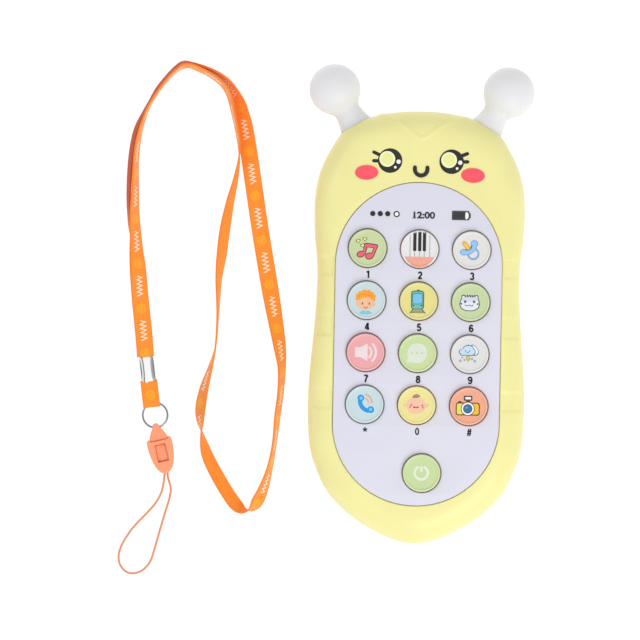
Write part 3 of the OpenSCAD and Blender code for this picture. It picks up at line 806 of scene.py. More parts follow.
ART["key_3"] = [([circ(0.62, -1.42, 2.3), circ(0.62, -1.42, 1.62)[::-1]], mb), ([circ(0.6, -1.38, 2.12), circ(0.6, -1.38, 1.86)[::-1]], lb),
                (ell(0.95, 2.4, 1.4, 1.32), mb), (ell(-3.0, -0.85, 1.38, 1.2), mb), (stroke(smooth_line([(-3.0, -0.9), (-1.6, -0.8), (-0.2, -0.2), (0.7, 0.9), (0.95, 2.3)], 5), 2.1), mb),
                (ell(0.95, 2.4, 1.2, 1.12), lb), (ell(-3.0, -0.85, 1.18, 1.0), lb), (stroke(smooth_line([(-3.0, -0.9), (-1.6, -0.8), (-0.2, -0.2), (0.7, 0.9), (0.95, 2.3)], 5), 1.7), lb),
                (stroke(smooth_line([(-2.3, 0.1), (-1.2, 0.05), (-0.4, 0.6), (0.0, 1.6)], 5), 0.5), db), (stroke([(-2.8, 2.45), (-1.35, 0.8)], 1.7), ink("teat_edge", 214, 150, 52)), (stroke([(-2.8, 2.45), (-1.35, 0.8)], 1.3), ink("teat", 242, 190, 66)),
                (stroke([(-2.7, 2.35), (-1.6, 1.1)], 0.4), ink("teat_light", 250, 214, 110))]
skin, hair = ink("skin", 240, 190, 150), ink("hair", 248, 162, 40)
ART["key_4"] = [(ell(-3.45, -1.35, 0.7, 0.65), skin), (ell(2.75, -1.45, 0.65, 0.65), skin), (ell(-0.35, -1.3, 3.05, 2.25), skin), (blob([(-3.7, -0.3), (-4.1, 0.5), (-3.9, 1.3), (-4.15, 2.0), (-3.3, 2.5), (-2.9, 3.2), (-1.9, 3.3), (-1.1, 3.95), (0.0, 3.7), (0.9, 3.9), (1.7, 3.2), (2.5, 3.0), (2.8, 2.2), (3.5, 1.7), (3.2, 0.9), (3.35, 0.1), (2.7, -0.4), (2.0, 0.3), (1.2, 0.7), (0.4, 1.1), (-0.5, 0.9), (-1.3, 1.0), (-2.0, 0.4), (-2.8, 0.2)]), hair),
                (stroke(smooth_line([(-3.4, 1.2), (-1.6, 2.3), (0.2, 1.9), (2.0, 1.6)]), 0.25), ink("hair_line", 226, 130, 30)), (ell(-1.55, -1.25, 0.25, 0.42), ink("eye_brown", 90, 70, 60)), (ell(1.05, -1.25, 0.25, 0.42), ink("eye_brown", 90, 70, 60)),
                (stroke(smooth_line([(-0.9, -2.6), (-0.25, -2.95), (0.4, -2.6)]), 0.3), ink("mouth_red", 196, 84, 70)), (blob([(-2.5, -5.0), (-1.9, -4.25), (-0.9, -3.9), (-0.3, -4.35), (0.4, -3.9), (1.4, -4.25), (2.0, -5.0), (-0.2, -5.35)]), ink("collar", 120, 204, 222))]
teal, tdark, win = ink("teal", 110, 190, 178), ink("teal_dark", 44, 92, 92), ink("window_blue", 120, 196, 232)
ART["key_5"] = [(rrect(-0.75, 2.9, 0.45, 4.3, 0.4), tdark), (rrect(-2.85, -3.15, 2.05, 3.95, 1.15), tdark), (rrect(-2.5, -2.85, 1.7, 3.6, 0.9), teal), (rrect(-2.35, -1.15, 1.55, 3.0, 1.0), tdark), (rrect(-2.15, -0.95, 1.35, 2.8, 0.85), win),
                ([(-2.3, -1.1), (-1.4, -1.75), (-2.3, -1.95)], tdark), ([(1.5, -1.1), (0.6, -1.75), (1.5, -1.95)], tdark), (stroke([(-2.1, -3.15), (-3.2, -4.45)], 0.3), tdark), (stroke([(1.4, -3.15), (2.5, -4.45)], 0.3), tdark),
                ([(-1.9, -3.3), (1.2, -3.3), (1.95, -4.25), (-2.65, -4.25)], ink("ballast", 196, 180, 120)), (stroke([(-2.9, -4.3), (2.2, -4.3)], 0.22), tdark), (stroke([(-2.4, -3.75), (1.7, -3.75)], 0.2), tdark)]
cdark, cwhite = ink("cat_line", 52, 54, 60), ink("cat_white", 232, 233, 242)
cat = blob([(-3.4, 2.4), (-2.6, 2.75), (-1.8, 2.35), (-0.4, 2.45), (1.2, 2.35), (2.0, 2.75), (2.8, 2.4), (2.9, 1.3), (3.4, -0.3), (3.1, -2.0), (1.6, -3.1), (-0.4, -3.4), (-2.4, -3.1), (-3.9, -2.0), (-4.15, -0.3), (-3.6, 1.3)])
cat_in = [(-0.4 + (x + 0.4) * 0.915, -0.4 + (y + 0.4) * 0.9) for x, y in cat]
ART["key_6"] = [(cat, cdark), (cat_in, cwhite), (blob([(-2.9, 1.7), (-1.2, 2.0), (0.5, 2.0), (2.2, 1.7), (2.4, 0.6), (1.0, 0.2), (-1.8, 0.2), (-3.1, 0.6)]), ink("cat_shade", 214, 217, 230)), (circ(-2.1, 0.15, 0.5), ink("cat_eye", 92, 94, 104)), (circ(1.25, 0.15, 0.5), ink("cat_eye", 92, 94, 104)),
                (stroke(smooth_line([(-2.1, -1.1), (-1.6, -1.4), (-1.1, -1.3), (-0.6, -1.05), (-0.1, -1.35), (0.5, -1.4), (0.9, -1.0)]), 0.28), ink("cat_eye", 92, 94, 104)), (circ(-3.5, -0.65, 0.33), cdark), (circ(2.65, -0.65, 0.33), cdark)]
for tx in (-2.3, -1.3, -0.4, 0.5, 1.4):
    ART["key_6"].append((stroke([(tx, 2.55), (tx + 0.25, 1.95)], 0.36), cdark))
lite = ink("light_on_pink", 238, 220, 222)
ART["key_7"] = [([(-4.0, 1.9), (-1.9, 1.9), (0.75, 3.35), (0.75, -3.3), (-1.9, -1.85), (-4.0, -1.85)], lite), (stroke(arc_pts(-0.6, 0, 2.75, -42, 42, 12), 0.85), lite), (stroke(arc_pts(-0.6, 0, 4.45, -44, 44, 14), 0.85), lite)]
bub = ink("bubble", 222, 230, 214)
ART["key_8"] = [(blob([(-3.85, -0.1), (-3.5, 1.8), (-2.2, 3.25), (-0.2, 3.75), (1.85, 3.25), (3.15, 1.8), (3.5, -0.1), (3.1, -1.95), (1.6, -3.25), (-0.3, -3.6), (-2.1, -3.4), (-4.0, -3.45), (-3.7, -1.9)]), bub)] + [(circ(dx, 0.05, 0.36, 20), ink("bubble_dot", 196, 214, 160)) for dx in (-2.2, -0.3, 1.6)]
navy, cl, cw = ink("cloud_line", 70, 96, 122), ink("cloud_blue", 196, 222, 240), ink("cloud_white", 240, 244, 250)
c2 = blob([(0.6, 3.3), (1.7, 3.35), (2.5, 2.5), (3.2, 1.6), (3.3, 0.5), (2.6, -0.3), (1.2, -0.3)])
c1 = blob([(-4.0, 0.7), (-3.7, 1.7), (-2.7, 2.1), (-2.0, 3.0), (-0.6, 3.5), (0.9, 3.1), (1.6, 2.1), (2.2, 1.2), (1.9, -0.1), (0.8, -0.6), (-1.2, -0.55), (-3.2, -0.5)])
ART["key_9"] = [(c2, navy), ([(1.9 + (x - 1.9) * 0.83, 1.5 + (y - 1.5) * 0.86) for x, y in c2], cw), (c1, navy), ([(-0.9 + (x + 0.9) * 0.91, 1.3 + (y - 1.3) * 0.86) for x, y in c1], cl), (circ(-1.55, 1.15, 0.24, 16), navy), (circ(-0.05, 1.15, 0.24, 16), navy), (stroke(smooth_line([(-1.15, 0.75), (-0.8, 0.5), (-0.45, 0.75)], 4), 0.22), navy),
                ([(-1.1, -0.75), (0.1, -0.75), (-0.3, -1.5), (0.5, -1.5), (-0.9, -3.1), (-0.6, -1.95), (-1.4, -1.95)], ink("bolt_edge", 150, 140, 40)), ([(-0.9, -0.9), (-0.15, -0.9), (-0.5, -1.65), (0.15, -1.65), (-0.7, -2.6), (-0.35, -1.8), (-1.1, -1.8)], ink("bolt", 246, 216, 60))]
for dx, dy, dr in ((-2.8, -1.3, 0.34), (-3.5, -2.5, 0.42), (-1.9, -2.2, 0.36), (0.95, -1.8, 0.36), (1.95, -2.6, 0.42)):
    ART["key_9"] += [(circ(dx, dy, dr, 18), ink("drop_line", 120, 124, 130)), (circ(dx, dy, dr * 0.5, 14), ink("drop", 206, 212, 220))]
hb, hg = ink("handset", 40, 152, 222), ink("handset_glow", 196, 230, 246)
hs = smooth_line([(-1.6, 2.2), (-1.75, 0.9), (-1.2, -0.6), (-0.2, -1.7), (1.1, -2.3), (2.4, -2.1)])
ART["key_star"] = [(circ(-1.45, 2.35, 1.65), hg), (circ(2.35, -1.95, 1.65), hg), (stroke(hs, 2.4), hg), (stroke(arc_pts(-0.3, 0.6, 1.75, 5, 80, 10), 0.5), ink("wave_orange", 226, 172, 128)), (stroke(arc_pts(-0.3, 0.6, 3.1, 2, 80, 12), 0.55), ink("wave_orange", 226, 172, 128)),
                   (circ(-1.45, 2.35, 1.3), hb), (circ(2.35, -1.95, 1.3), hb), (stroke(hs, 1.65), hb), (circ(-1.3, 2.3, 0.62), ink("handset_light", 120, 200, 240)), (circ(2.3, -1.85, 0.62), ink("handset_light", 120, 200, 240))]
bs = ink("baby_skin", 245, 196, 166)
ART["key_0"] = [(ell(-4.2, 0.0, 0.75, 0.65), bs), (ell(3.85, 0.0, 0.75, 0.65), bs), (blob([(-3.75, 0.3), (-2.9, 2.2), (-0.4, 3.2), (2.3, 2.2), (3.4, 0.3), (3.1, -1.4), (1.6, -2.8), (-0.3, -3.15), (-2.2, -2.8), (-3.5, -1.4)]), bs), (blob([(-1.6, 2.9), (-1.2, 3.7), (-0.3, 4.15), (0.7, 4.0), (1.25, 3.3), (0.6, 2.95), (-0.5, 2.8)]), ink("baby_hair", 150, 112, 96)), (stroke(smooth_line([(-0.9, 3.1), (-0.3, 3.7), (0.4, 3.75), (0.7, 3.3)], 4), 0.22), ink("baby_curl", 206, 168, 140)),
                (circ(-2.45, -0.65, 0.42, 18), ink("baby_cheek", 236, 130, 140)), (circ(2.35, -0.8, 0.42, 18), ink("baby_cheek", 236, 130, 140)), (circ(-2.0, 0.1, 0.3, 16), ink("baby_eye", 120, 96, 84)), (circ(2.1, 0.0, 0.3, 16), ink("baby_eye", 120, 96, 84)), (blob([(-1.4, -0.6), (-0.8, -0.45), (-0.25, -0.65), (0.35, -0.45), (0.9, -0.6), (0.4, -1.1), (-0.2, -0.95), (-0.9, -1.1)]), ink("baby_mouth", 206, 44, 70))]
cd, cy_ = ink("camera_line", 92, 54, 40), ink("camera_yellow", 246, 198, 40)
ART["key_hash"] = [(rrect(-4.1, 0.5, -2.6, 1.9, 0.5), cd), (rrect(-4.85, -3.45, 4.15, 1.4, 1.0), cd), (rrect(-4.45, -3.05, 3.75, 1.0, 0.75), cy_), (rrect(-4.45, -3.05, -2.2, 1.0, 0.7), ink("camera_lime", 232, 226, 90)), (rrect(1.6, -2.6, 3.3, 0.6, 0.4), ink("camera_orange", 248, 186, 50)),
                   (rrect(-1.9, 2.1, 1.3, 3.95, 0.35), ink("camera_dark", 70, 60, 66)), (rrect(-1.3, 2.6, 0.8, 3.45, 0.2), M["white"]), ([(-1.2, 1.4), (-0.8, 2.3), (0.3, 2.3), (0.7, 1.4)], cd),
                   (circ(-0.35, -0.95, 2.6), cd), (circ(-0.35, -0.95, 2.32), M["white"]), (circ(-0.35, -0.95, 1.75), ink("lens_dark", 48, 72, 96)), (circ(-0.35, -0.95, 1.45), ink("lens_blue", 48, 112, 156)), (circ(-0.8, -0.5, 0.4, 18), ink("lens_light", 110, 168, 200))]
pw = ink("power_light", 226, 238, 212)
ART["power_key"] = [(stroke(arc_pts(-0.1, 0.1, 2.45, 122, 418, 40), 1.0), pw), (stroke([(-0.1, 0.45), (-0.1, 2.6)], 1.05, False), pw)]
for k, shapes in ART.items():
    x, y = POS[k]
    if k == "key_2":  # runs over the raised edge of its cap
        cap = BVHTree.FromObject(bpy.data.objects["key_2_cap"], bpy.context.evaluated_depsgraph_get())
        prints(k + "_picture", shapes, (x, y + YO), 29.55, k + "_body", on=cap, step=0.006, fine=0.3)
        continue
    prints(k + "_picture", shapes, (x, y + YO), 29.55, k + "_body", step=0.006)

# ------------------------------------------------------------------ numbers, status row, bee face
def earc(cx, cy, rx, ry, a0, a1, n=16):
    return [(cx + rx * math.cos(math.radians(a0 + (a1 - a0) * i / n)), cy + ry * math.sin(math.radians(a0 + (a1 - a0) * i / n))) for i in range(n + 1)]


# Bold numerals as strokes in a box 0.58 wide and 1 high
SIX = [(0.5, 0.76), (0.42, 0.89), (0.3, 0.925), (0.18, 0.86), (0.1, 0.7), (0.075, 0.5), (0.08, 0.32)]
GLYPH = {
    "1": [[(0.36, 0), (0.36, 1)], [(0.1, 0.76), (0.24, 0.84), (0.36, 0.97)]],
    "2": [earc(0.29, 0.7, 0.2, 0.225, 172, -35, 14) + [(0.3, 0.34), (0.12, 0.12)], [(0.02, 0.08), (0.56, 0.08)]],
    "3": [earc(0.27, 0.735, 0.19, 0.19, 165, -85, 14), earc(0.27, 0.3, 0.22, 0.23, 85, -165, 14)],
    "4": [[(0.42, 0), (0.42, 1)], [(0.38, 0.95), (0.06, 0.3)], [(0, 0.24), (0.6, 0.24)]],
    "5": [[(0.52, 0.92), (0.12, 0.92)], [(0.15, 0.96), (0.09, 0.46)], earc(0.28, 0.32, 0.22, 0.25, 135, -162, 16)],
    "6": [SIX, earc(0.3, 0.31, 0.215, 0.235, 0, 360, 24)],
    "7": [[(0.02, 0.92), (0.56, 0.92)], [(0.52, 0.9), (0.36, 0.62), (0.25, 0.32), (0.21, 0)]],
    "8": [earc(0.29, 0.735, 0.18, 0.185, 0, 360, 20), earc(0.29, 0.3, 0.215, 0.225, 0, 360, 24)],
    "9": [[(0.58 - x, 1 - y) for x, y in SIX], [(0.58 - x, 1 - y) for x, y in earc(0.3, 0.31, 0.215, 0.235, 0, 360, 24)]],
    "0": [earc(0.29, 0.5, 0.2, 0.42, 0, 360, 28)],
    "#": [[(0.12, 0), (0.24, 1)], [(0.38, 0), (0.5, 1)], [(0, 0.34), (0.56, 0.34)], [(0.04, 0.66), (0.6, 0.66)]],
}


def glyph(t, tall, cx, cy, w):
    return [stroke([(cx + (x - 0.29) * tall, cy + (y - 0.5) * tall) for x, y in line], w, False) for line in GLYPH[t]]


LAB = {"key_1": "1", "key_2": "2", "key_3": "3", "key_4": "4", "key_5": "5", "key_6": "6", "key_7": "7", "key_8": "8", "key_9": "9", "key_0": "0", "key_hash": "#"}
shapes = []
for k, t in LAB.items():
    x, y = POS[k]
    for g in glyph(t, 2.72, x + 0.35, y - 9.8, 0.5 if t in "0#" else 0.66):
        shapes.append((g, M["ink"]))
x, y = POS["key_star"]
for a in range(90, 450, 72):
    shapes.append((stroke([(x + 0.35, y - 9.45), (x + 0.35 + 0.92 * math.cos(math.radians(a)), y - 9.45 + 0.92 * math.sin(math.radians(a)))], 0.46, False), M["ink"]))
for tri in text_loops("12:00", 2.6, 1.72, 42.1, 0.035, 1.16):
    shapes.append((tri, M["dark"]))
shapes.append(([(-2.7, 40.82), (-1.35, 40.82), (-1.35, 41.08), (-2.7, 41.08)], M["dark"]))
for cx in (-17.6, -14.8, -12.0):
    shapes.append((circ(cx, 42.35, 0.98, 24), M["dark"]))
shapes.append(([circ(-8.65, 42.3, 1.15, 24), circ(-8.65, 42.3, 0.7, 24)[::-1]], M["dark"]))
shapes.append((circ(-8.65, 42.3, 0.7, 24), M["white"]))
bat, batd = ink("battery_grey", 66, 66, 72), ink("battery_dark", 46, 46, 52)
shapes += [(rrect(12.05, 40.5, 18.55, 43.95, 0.3), bat), (rrect(18.5, 41.2, 19.1, 43.2, 0.2), bat), (rrect(12.6, 41.0, 16.7, 43.45, 0.15), batd), (blob([(17.2, 41.0), (17.8, 40.95), (18.2, 41.5), (18.3, 42.2), (18.2, 42.9), (17.8, 43.45), (17.2, 43.4), (17.1, 42.2)], 4), M["white"])]
prints("panel_numbers", shapes, (0, YO), 28.0, "phone", step=0.0005)

bvh = BVHTree.FromObject(front, bpy.context.evaluated_depsgraph_get())
face = [(circ(-11.5, 62.3, 4.6, 56), M["dark"]), (stroke([(-17.6, 65.35), (-15.2, 64.25), (-14, 63.6)], 1.28), M["dark"]), (stroke([(-17.6, 62.15), (-15, 62.05), (-14, 62)], 1.28), M["dark"]),
        (circ(-12.55, 62.9, 2.95, 44), M["rim"]), (circ(-12.55, 62.9, 2.3, 44), M["iris"]), (circ(-8.3, 61.95, 0.8, 24), M["white"]), (circ(-9.5, 59.85, 0.5, 20), M["white"]), (circ(-8.3, 61.95, 0.3, 14), M["iris"]),
        (circ(11.55, 62.3, 4.57, 56), M["dark"]), (stroke([(17.4, 65.4), (15.4, 64.6), (14, 64)], 1.28), M["dark"]), (stroke([(17.55, 62.35), (15.6, 62.3), (14, 62.2)], 1.28), M["dark"]),
        (circ(10.6, 62.9, 2.95, 44), M["rim"]), (circ(10.6, 62.9, 2.3, 44), M["iris"]), (circ(14.8, 62.0, 0.8, 24), M["white"]), (circ(13.65, 59.8, 0.5, 20), M["white"]), (circ(14.8, 62.0, 0.3, 14), M["iris"]),
        (stroke([(-2.15, 59.9), *arc_pts(0.2, 59.25, 2.35, 180, 360, 22), (2.55, 59.9)], 1.5), M["dark"]),
        (ell(-20.2, 57.7, 4.35, 2.75, 2), M["cheek"]), (ell(19.65, 57.3, 4.45, 2.75, -2), M["cheek"])]
prints("face_print", face, (0, YO), 28.0, "phone", on=bvh, step=0.012, fine=1.2)

# ------------------------------------------------------------------ antennae
for s, nm in ((-1, "antenna_left"), (1, "antenna_right")):
    prof = [(0, -6), (7.9, -6), (8, -5.8), (8, -4.3), (7.8, -4.2), (6.3, -4.0), (6.2, 0.2)]
    prof += [(6.22 - 0.0, 0.6), (5.95, 1.4), (5.7, 2.2), (5.45, 3.2), (5.2, 4.2), (5.02, 5.2), (4.94, 6.0), (4.96, 6.6), (5.08, 7.1), (5.3, 7.6), (5.62, 8.1), (6.05, 8.6)]
    prof += [(9.55 * math.cos(math.radians(a)), 16 + 9.55 * math.sin(math.radians(a))) for a in np.linspace(-47, 89, 40)] + [(0, 25.55)]
    rot = Matrix.Rotation(math.radians(-s * 31), 4, "Z") @ Matrix.Rotation(math.radians(-90), 4, "X")
    ob = lathe(prof, (s * 24.4, 74.9 + YO, 15), rot, 96, nm + "_soft", M["antenna"], "phone")
    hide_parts(nm)

# ------------------------------------------------------------------ battery door with its screw recess and slots
door = box_obj(-13, 13, -52 + YO, 9 + YO, 0, 2.2, 0.25, 3, "battery_door_plate")
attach(door, "door")
knuckle = cyl_obj(1.1, -13, 13, (0, -52 + YO, 1.1), Matrix.Rotation(math.radians(90), 4, "Y"), 40, "k")
boolean(door, [knuckle], "UNION")
cuts = [lathe([(0, -1), (3.1, -1), (3.1, -0.1), (2.95, 0.2), (2.95, 1.3), (1.45, 1.31), (1.45, 4), (0, 4)], (0, 5 + YO, 0), None, 48, "cut", M["yellow"], None)]
cuts += [box_obj(x - 0.4, x + 0.4, -46 + YO, -41 + YO, -1, 0.4, 0.15) for x in range(-7, 8, 2)]
boolean(door, cuts)
tidy(door, 30, recalc=False)
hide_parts("battery_door")

# ------------------------------------------------------------------ inner pieces keep their CAD shape
INNER = {
    "keypad_membrane": Mat("membrane", srgb(214, 214, 222), 0.6).plastic(600, 0.1, 0.5, 0.7),
    "main_board": Mat("solder_mask", srgb(36, 104, 62), 0.35),
    "board_parts": Mat("epoxy", srgb(40, 40, 44), 0.4).plastic(1500, 0.2, 0.35, 0.6),
    "speaker": Mat("speaker_cone", srgb(58, 58, 62), 0.6).plastic(2500, 0.3, 0.5, 0.8),
    "speaker_clamp": Mat("clamp_abs", srgb(214, 214, 204), 0.5).plastic(900, 0.1, 0.4, 0.6),
    "led_left": Mat("led_lens", srgb(228, 96, 84), 0.15).plastic(600, 0.02, 0.1, 0.2),
    "led_wires": Mat("wire_pvc", srgb(160, 40, 40), 0.45).plastic(1500, 0.1, 0.4, 0.55),
    "battery_cell_1": Mat("cell_sleeve", srgb(72, 128, 84), 0.3),
}
mb_ = INNER["main_board"]
mb_.base(mb_.mix(mb_.math("GREATER_THAN", mb_.noise(420, 1), 0.6), srgb(36, 104, 62), srgb(52, 128, 78)))
mb_.bump(mb_.noise(420, 1), 0.3, 0.00004)
cs = INNER["battery_cell_1"]
sep = cs.node("ShaderNodeSeparateXYZ")
cs.link(cs.coords(), sep.inputs[0])
cs.base(cs.mix(cs.math("GREATER_THAN", sep.outputs[1], -0.0125), srgb(72, 128, 84), srgb(196, 160, 74)))
cs.rough(cs.math("ADD", cs.math("MULTIPLY", cs.noise(900, 2), 0.15), 0.2))
for node, like in (("led_right", "led_left"), ("speaker_wires", "led_wires"), ("battery_wires", "led_wires"), ("battery_cell_2", "battery_cell_1")):
    INNER[node] = INNER[like]
for node in ("board_screws", "case_screws", "door_screw", "contact_springs", "contact_plates"):
    INNER[node] = M["steel"]
for node, mt in INNER.items():
    o = bpy.data.objects.get(node)
    if o is None:
        o = frame["nodes"][node] if isinstance(frame["nodes"], dict) else None
    for sl in range(max(1, len(o.material_slots))):
        if len(o.material_slots) == 0:
            o.data.materials.append(mt.m)
        else:
            o.material_slots[sl].material = mt.m

# ------------------------------------------------------------------ lanyard strap
# Route of the webbing in mm: x, y, z, turn of its face from level
S = [(-101.8, -21.6, 0.6, 0), (-102.05, -19, 0.6, 0), (-102.8, -12, 0.7, 3), (-103.8, -4, 1.0, 12), (-105.2, 6, 1.9, 32), (-107.0, 16, 3.0, 64), (-108.4, 25, 3.4, 92), (-109.1, 33, 3.4, 98), (-109.3, 41, 3.4, 101),
     (-108.9, 51, 3.4, 103), (-108.0, 59, 3.4, 103), (-106.7, 64.5, 3.4, 102), (-104.4, 69.7, 3.4, 98), (-101.9, 74.4, 3.4, 97), (-99.4, 79.0, 3.4, 98), (-96.2, 83.1, 3.4, 100), (-92.9, 86.8, 3.4, 100), (-90, 88.9, 3.4, 101),
     (-87.3, 89.3, 3.4, 92), (-83.3, 87.8, 3.4, 80), (-79.2, 86.2, 3.4, 76), (-75.8, 84.4, 3.4, 74), (-73, 81.9, 3.3, 66), (-70.7, 78.6, 3.1, 58), (-68.5, 74.4, 2.7, 45), (-67.4, 70.6, 2.3, 35), (-65.9, 64, 1.7, 18),
     (-63, 47, 1.0, 3), (-59.7, 27, 0.8, 0), (-56, 7, 1.1, -9), (-53.7, -5, 2.0, -28), (-51.6, -16.5, 2.9, -46), (-50.6, -25, 3.3, -66), (-50.9, -34, 3.4, -72), (-51.9, -43, 3.4, -73), (-52.8, -53, 3.4, -78),
     (-54.3, -62, 3.4, -74), (-56.4, -69.5, 3.3, -60), (-59, -75.4, 3.1, -50), (-62.2, -78.4, 3.3, -90), (-66.0, -77.2, 3.3, -132), (-70.3, -71.7, 3.1, -138), (-75.4, -63.2, 3.1, -135), (-78.3, -57, 3.2, -126),
     (-80.0, -50.5, 3.3, -98), (-80.8, -45, 3.3, -68), (-80.8, -40, 3.2, -56), (-79.6, -33, 3.2, -62), (-77.4, -25, 3.4, -78), (-75.6, -17, 3.4, -90), (-75, -5, 3.4, -94), (-74.9, 8, 3.4, -108), (-74, 17, 3.3, -122),
     (-72.9, 27, 3.3, -124), (-71.2, 37, 3.4, -114), (-69.4, 45, 3.5, -104), (-68.3, 52, 3.8, -94), (-68.1, 57, 4.2, -86), (-68.8, 62.5, 4.4, -82), (-70.4, 69.7, 4.6, -80), (-72, 76.3, 4.6, -76), (-73.8, 80, 4.6, -75),
     (-76.6, 82.8, 4.6, -76), (-80.4, 85.2, 4.6, -77), (-84, 86.9, 4.6, -76), (-87.4, 88.1, 4.6, -77), (-89.6, 87.8, 4.6, -77), (-91.7, 86.6, 4.6, -82), (-94.9, 83.5, 4.6, -84), (-98.4, 79.0, 4.6, -85), (-100.8, 75.2, 4.6, -85),
     (-102.7, 71.6, 4.6, -84), (-104.2, 67.4, 4.6, -82), (-105.5, 62.9, 4.6, -79), (-106.5, 56.6, 4.6, -75), (-106.9, 49.8, 4.6, -73), (-106.9, 40, 4.5, -67), (-107.0, 33, 4.4, -60), (-106.5, 25, 4.2, -52), (-105.9, 18, 4.0, -42),
     (-105.2, 12, 3.8, -30), (-104.5, 3, 3.4, -15), (-103.6, -5, 3.1, -8), (-102.6, -13, 2.9, -2), (-102.2, -17.5, 2.75, 0), (-101.8, -21.6, 2.7, 0)]
STRAP_W, STRAP_T = 6.4, 0.62


def ribbon(name, pts, width, thick, step, mats, body, across=12):
    """A flat band along a route, with (length, width) in metres as its UV."""
    c = catmull(np.array(pts, float), 10)
    p, s = resample(c, step=step)
    xyz = p[:, :3]
    roll = np.radians(p[:, 3])
    T = np.gradient(xyz, axis=0)
    T /= np.linalg.norm(T, axis=1)[:, None]
    Z = np.array([0, 0, 1.0])
    Nn = np.cross(np.tile(Z, (len(T), 1)), T)
    Nn /= np.linalg.norm(Nn, axis=1)[:, None]
    B = np.cross(T, Nn)
    Wv = np.cos(roll)[:, None] * Nn + np.sin(roll)[:, None] * B
    F = -np.sin(roll)[:, None] * Nn + np.cos(roll)[:, None] * B
    h, w2 = thick / 2, width / 2
    sec = [(-w2 + width * i / across, h) for i in range(across + 1)]
    sec = [(-w2 + 0.12, h)] + sec[1:-1] + [(w2 - 0.12, h), (w2, h * 0.45), (w2, -h * 0.45)] + [(w2 - 0.12, -h)] + [(x, -h) for x, _ in sec[1:-1][::-1]] + [(-w2 + 0.12, -h), (-w2, -h * 0.45), (-w2, h * 0.45)]
    n = len(sec)
    verts, uv = [], []
    for i in range(len(p)):
        for a, b in sec:
            verts.append(xyz[i] + Wv[i] * a + F[i] * b)
    faces, fuv = [], []
    for i in range(len(p) - 1):
        for k in range(n):
            k2 = (k + 1) % n
            faces.append((i * n + k, (i + 1) * n + k, (i + 1) * n + k2, i * n + k2))
            f0 = 1 if sec[k][1] > 0 and sec[k2][1] > 0 else -1
            fuv.append([(s[i] * MM, (sec[k][0]) * MM * 1.0), (s[i + 1] * MM, sec[k][0] * MM), (s[i + 1] * MM, sec[k2][0] * MM), (s[i] * MM, sec[k2][0] * MM)])
    faces.append(tuple(range(n)))
    fuv.append([(0, sec[k][0] * MM) for k in range(n)])
    faces.append(tuple((len(p) - 1) * n + k for k in reversed(range(n))))
    fuv.append([(s[-1] * MM, sec[k][0] * MM) for k in reversed(range(n))])
    front_face = [1 if (i < (len(p) - 1) * n and sec[i % n][1] > 0 and sec[(i + 1) % n][1] > 0) else 0 for i in range(len(faces))]
    ob = new_obj(name, verts, faces, mats, body, True, [0 if f else (1 if len(mats) > 1 else 0) for f in front_face])
    lay = ob.data.uv_layers.new(name="band")
    flat = [c for f in fuv for u in f for c in u]
    lay.data.foreach_set("uv", flat)
    tidy(ob, 50, recalc=False)
    bm = bmesh.new()
    bm.from_mesh(ob.data)
    bmesh.ops.recalc_face_normals(bm, faces=bm.faces)
    bm.to_mesh(ob.data)
    bm.free()
    return ob, xyz, s[-1]


def webbing(name, printed, shift=0.0133):
    """Ribbed polyester webbing; the printed side carries a row of pale marks and yellow dots."""
    m = Mat(name, srgb(253, 148, 40), 0.75)
    uvn = m.node("ShaderNodeUVMap", uv_map="band")
    sp = m.node("ShaderNodeSeparateXYZ")
    m.link(uvn.outputs[0], sp.inputs[0])
    u, v = sp.outputs[0], sp.outputs[1]
    ribs = m.math("SINE", m.math("MULTIPLY", u, 2 * math.pi / 0.0009))
    warp = m.math("SINE", m.math("MULTIPLY", v, 2 * math.pi / 0.0007))
    weave = m.math("MULTIPLY", ribs, warp)
    fine = m.noise(2600, 2)
    h = m.math("ADD", m.math("MULTIPLY", weave, 0.5), m.math("MULTIPLY", fine, 0.6))
    m.bump(h, 0.55, 0.00012)
    edge = m.math("GREATER_THAN", m.math("ABSOLUTE", v), 0.0028)
    col = m.mix(m.math("MULTIPLY", fine, 0.5), srgb(255, 149, 38), srgb(251, 134, 28))
    col = m.mix(m.math("MULTIPLY", edge, 0.35), col, srgb(245, 116, 24))
    if printed:
        pitch = 0.01684
        pu = m.math("SUBTRACT", m.math("MODULO", m.math("ADD", u, shift), pitch), pitch / 2)
        rr = m.math("SQRT", m.math("ADD", m.math("MULTIPLY", pu, pu), m.math("MULTIPLY", v, v)))
        disc = m.math("LESS_THAN", rr, 0.0018)
        col = m.mix(m.math("MULTIPLY", disc, 0.85), col, srgb(252, 172, 26))
        eye = m.math("LESS_THAN", m.math("ABSOLUTE", m.math("SUBTRACT", rr, 0.001)), 0.00016)
        col = m.mix(m.math("MULTIPLY", eye, 0.6), col, srgb(246, 140, 30))
        # a short white zigzag between the dots
        zu = m.math("SUBTRACT", m.math("MODULO", m.math("ADD", u, shift + pitch / 2), pitch), pitch / 2)
        inside = m.math("LESS_THAN", m.math("ABSOLUTE", zu), 0.0038)
        saw = m.math("PINGPONG", m.math("ADD", zu, 0.01), 0.00076)
        line = m.math("SUBTRACT", m.math("MULTIPLY", saw, 2.63), 0.001)
        zig = m.math("LESS_THAN", m.math("ABSOLUTE", m.math("SUBTRACT", v, line)), 0.00048)
        col = m.mix(m.math("MULTIPLY", m.math("MULTIPLY", inside, zig), 0.92), col, srgb(255, 240, 226))
    else:  # painted shade, redder and darker, where the two layers face each other on the left
        layer_gap_shade = m.math("SUBTRACT", 1.0, m.math("DIVIDE", m.math("ABSOLUTE", m.math("SUBTRACT", u, 0.086)), 0.048), clamp=True)
        col = m.mix(m.math("MULTIPLY", m.math("MINIMUM", m.math("MULTIPLY", layer_gap_shade, 2.5), 1.0), 0.95), col, srgb(188, 58, 14))
    m.base(col)
    m.p.inputs["Sheen Weight"].default_value = 0.2 if printed else 0.04
    m.p.inputs["Sheen Roughness"].default_value = 0.5
    return m


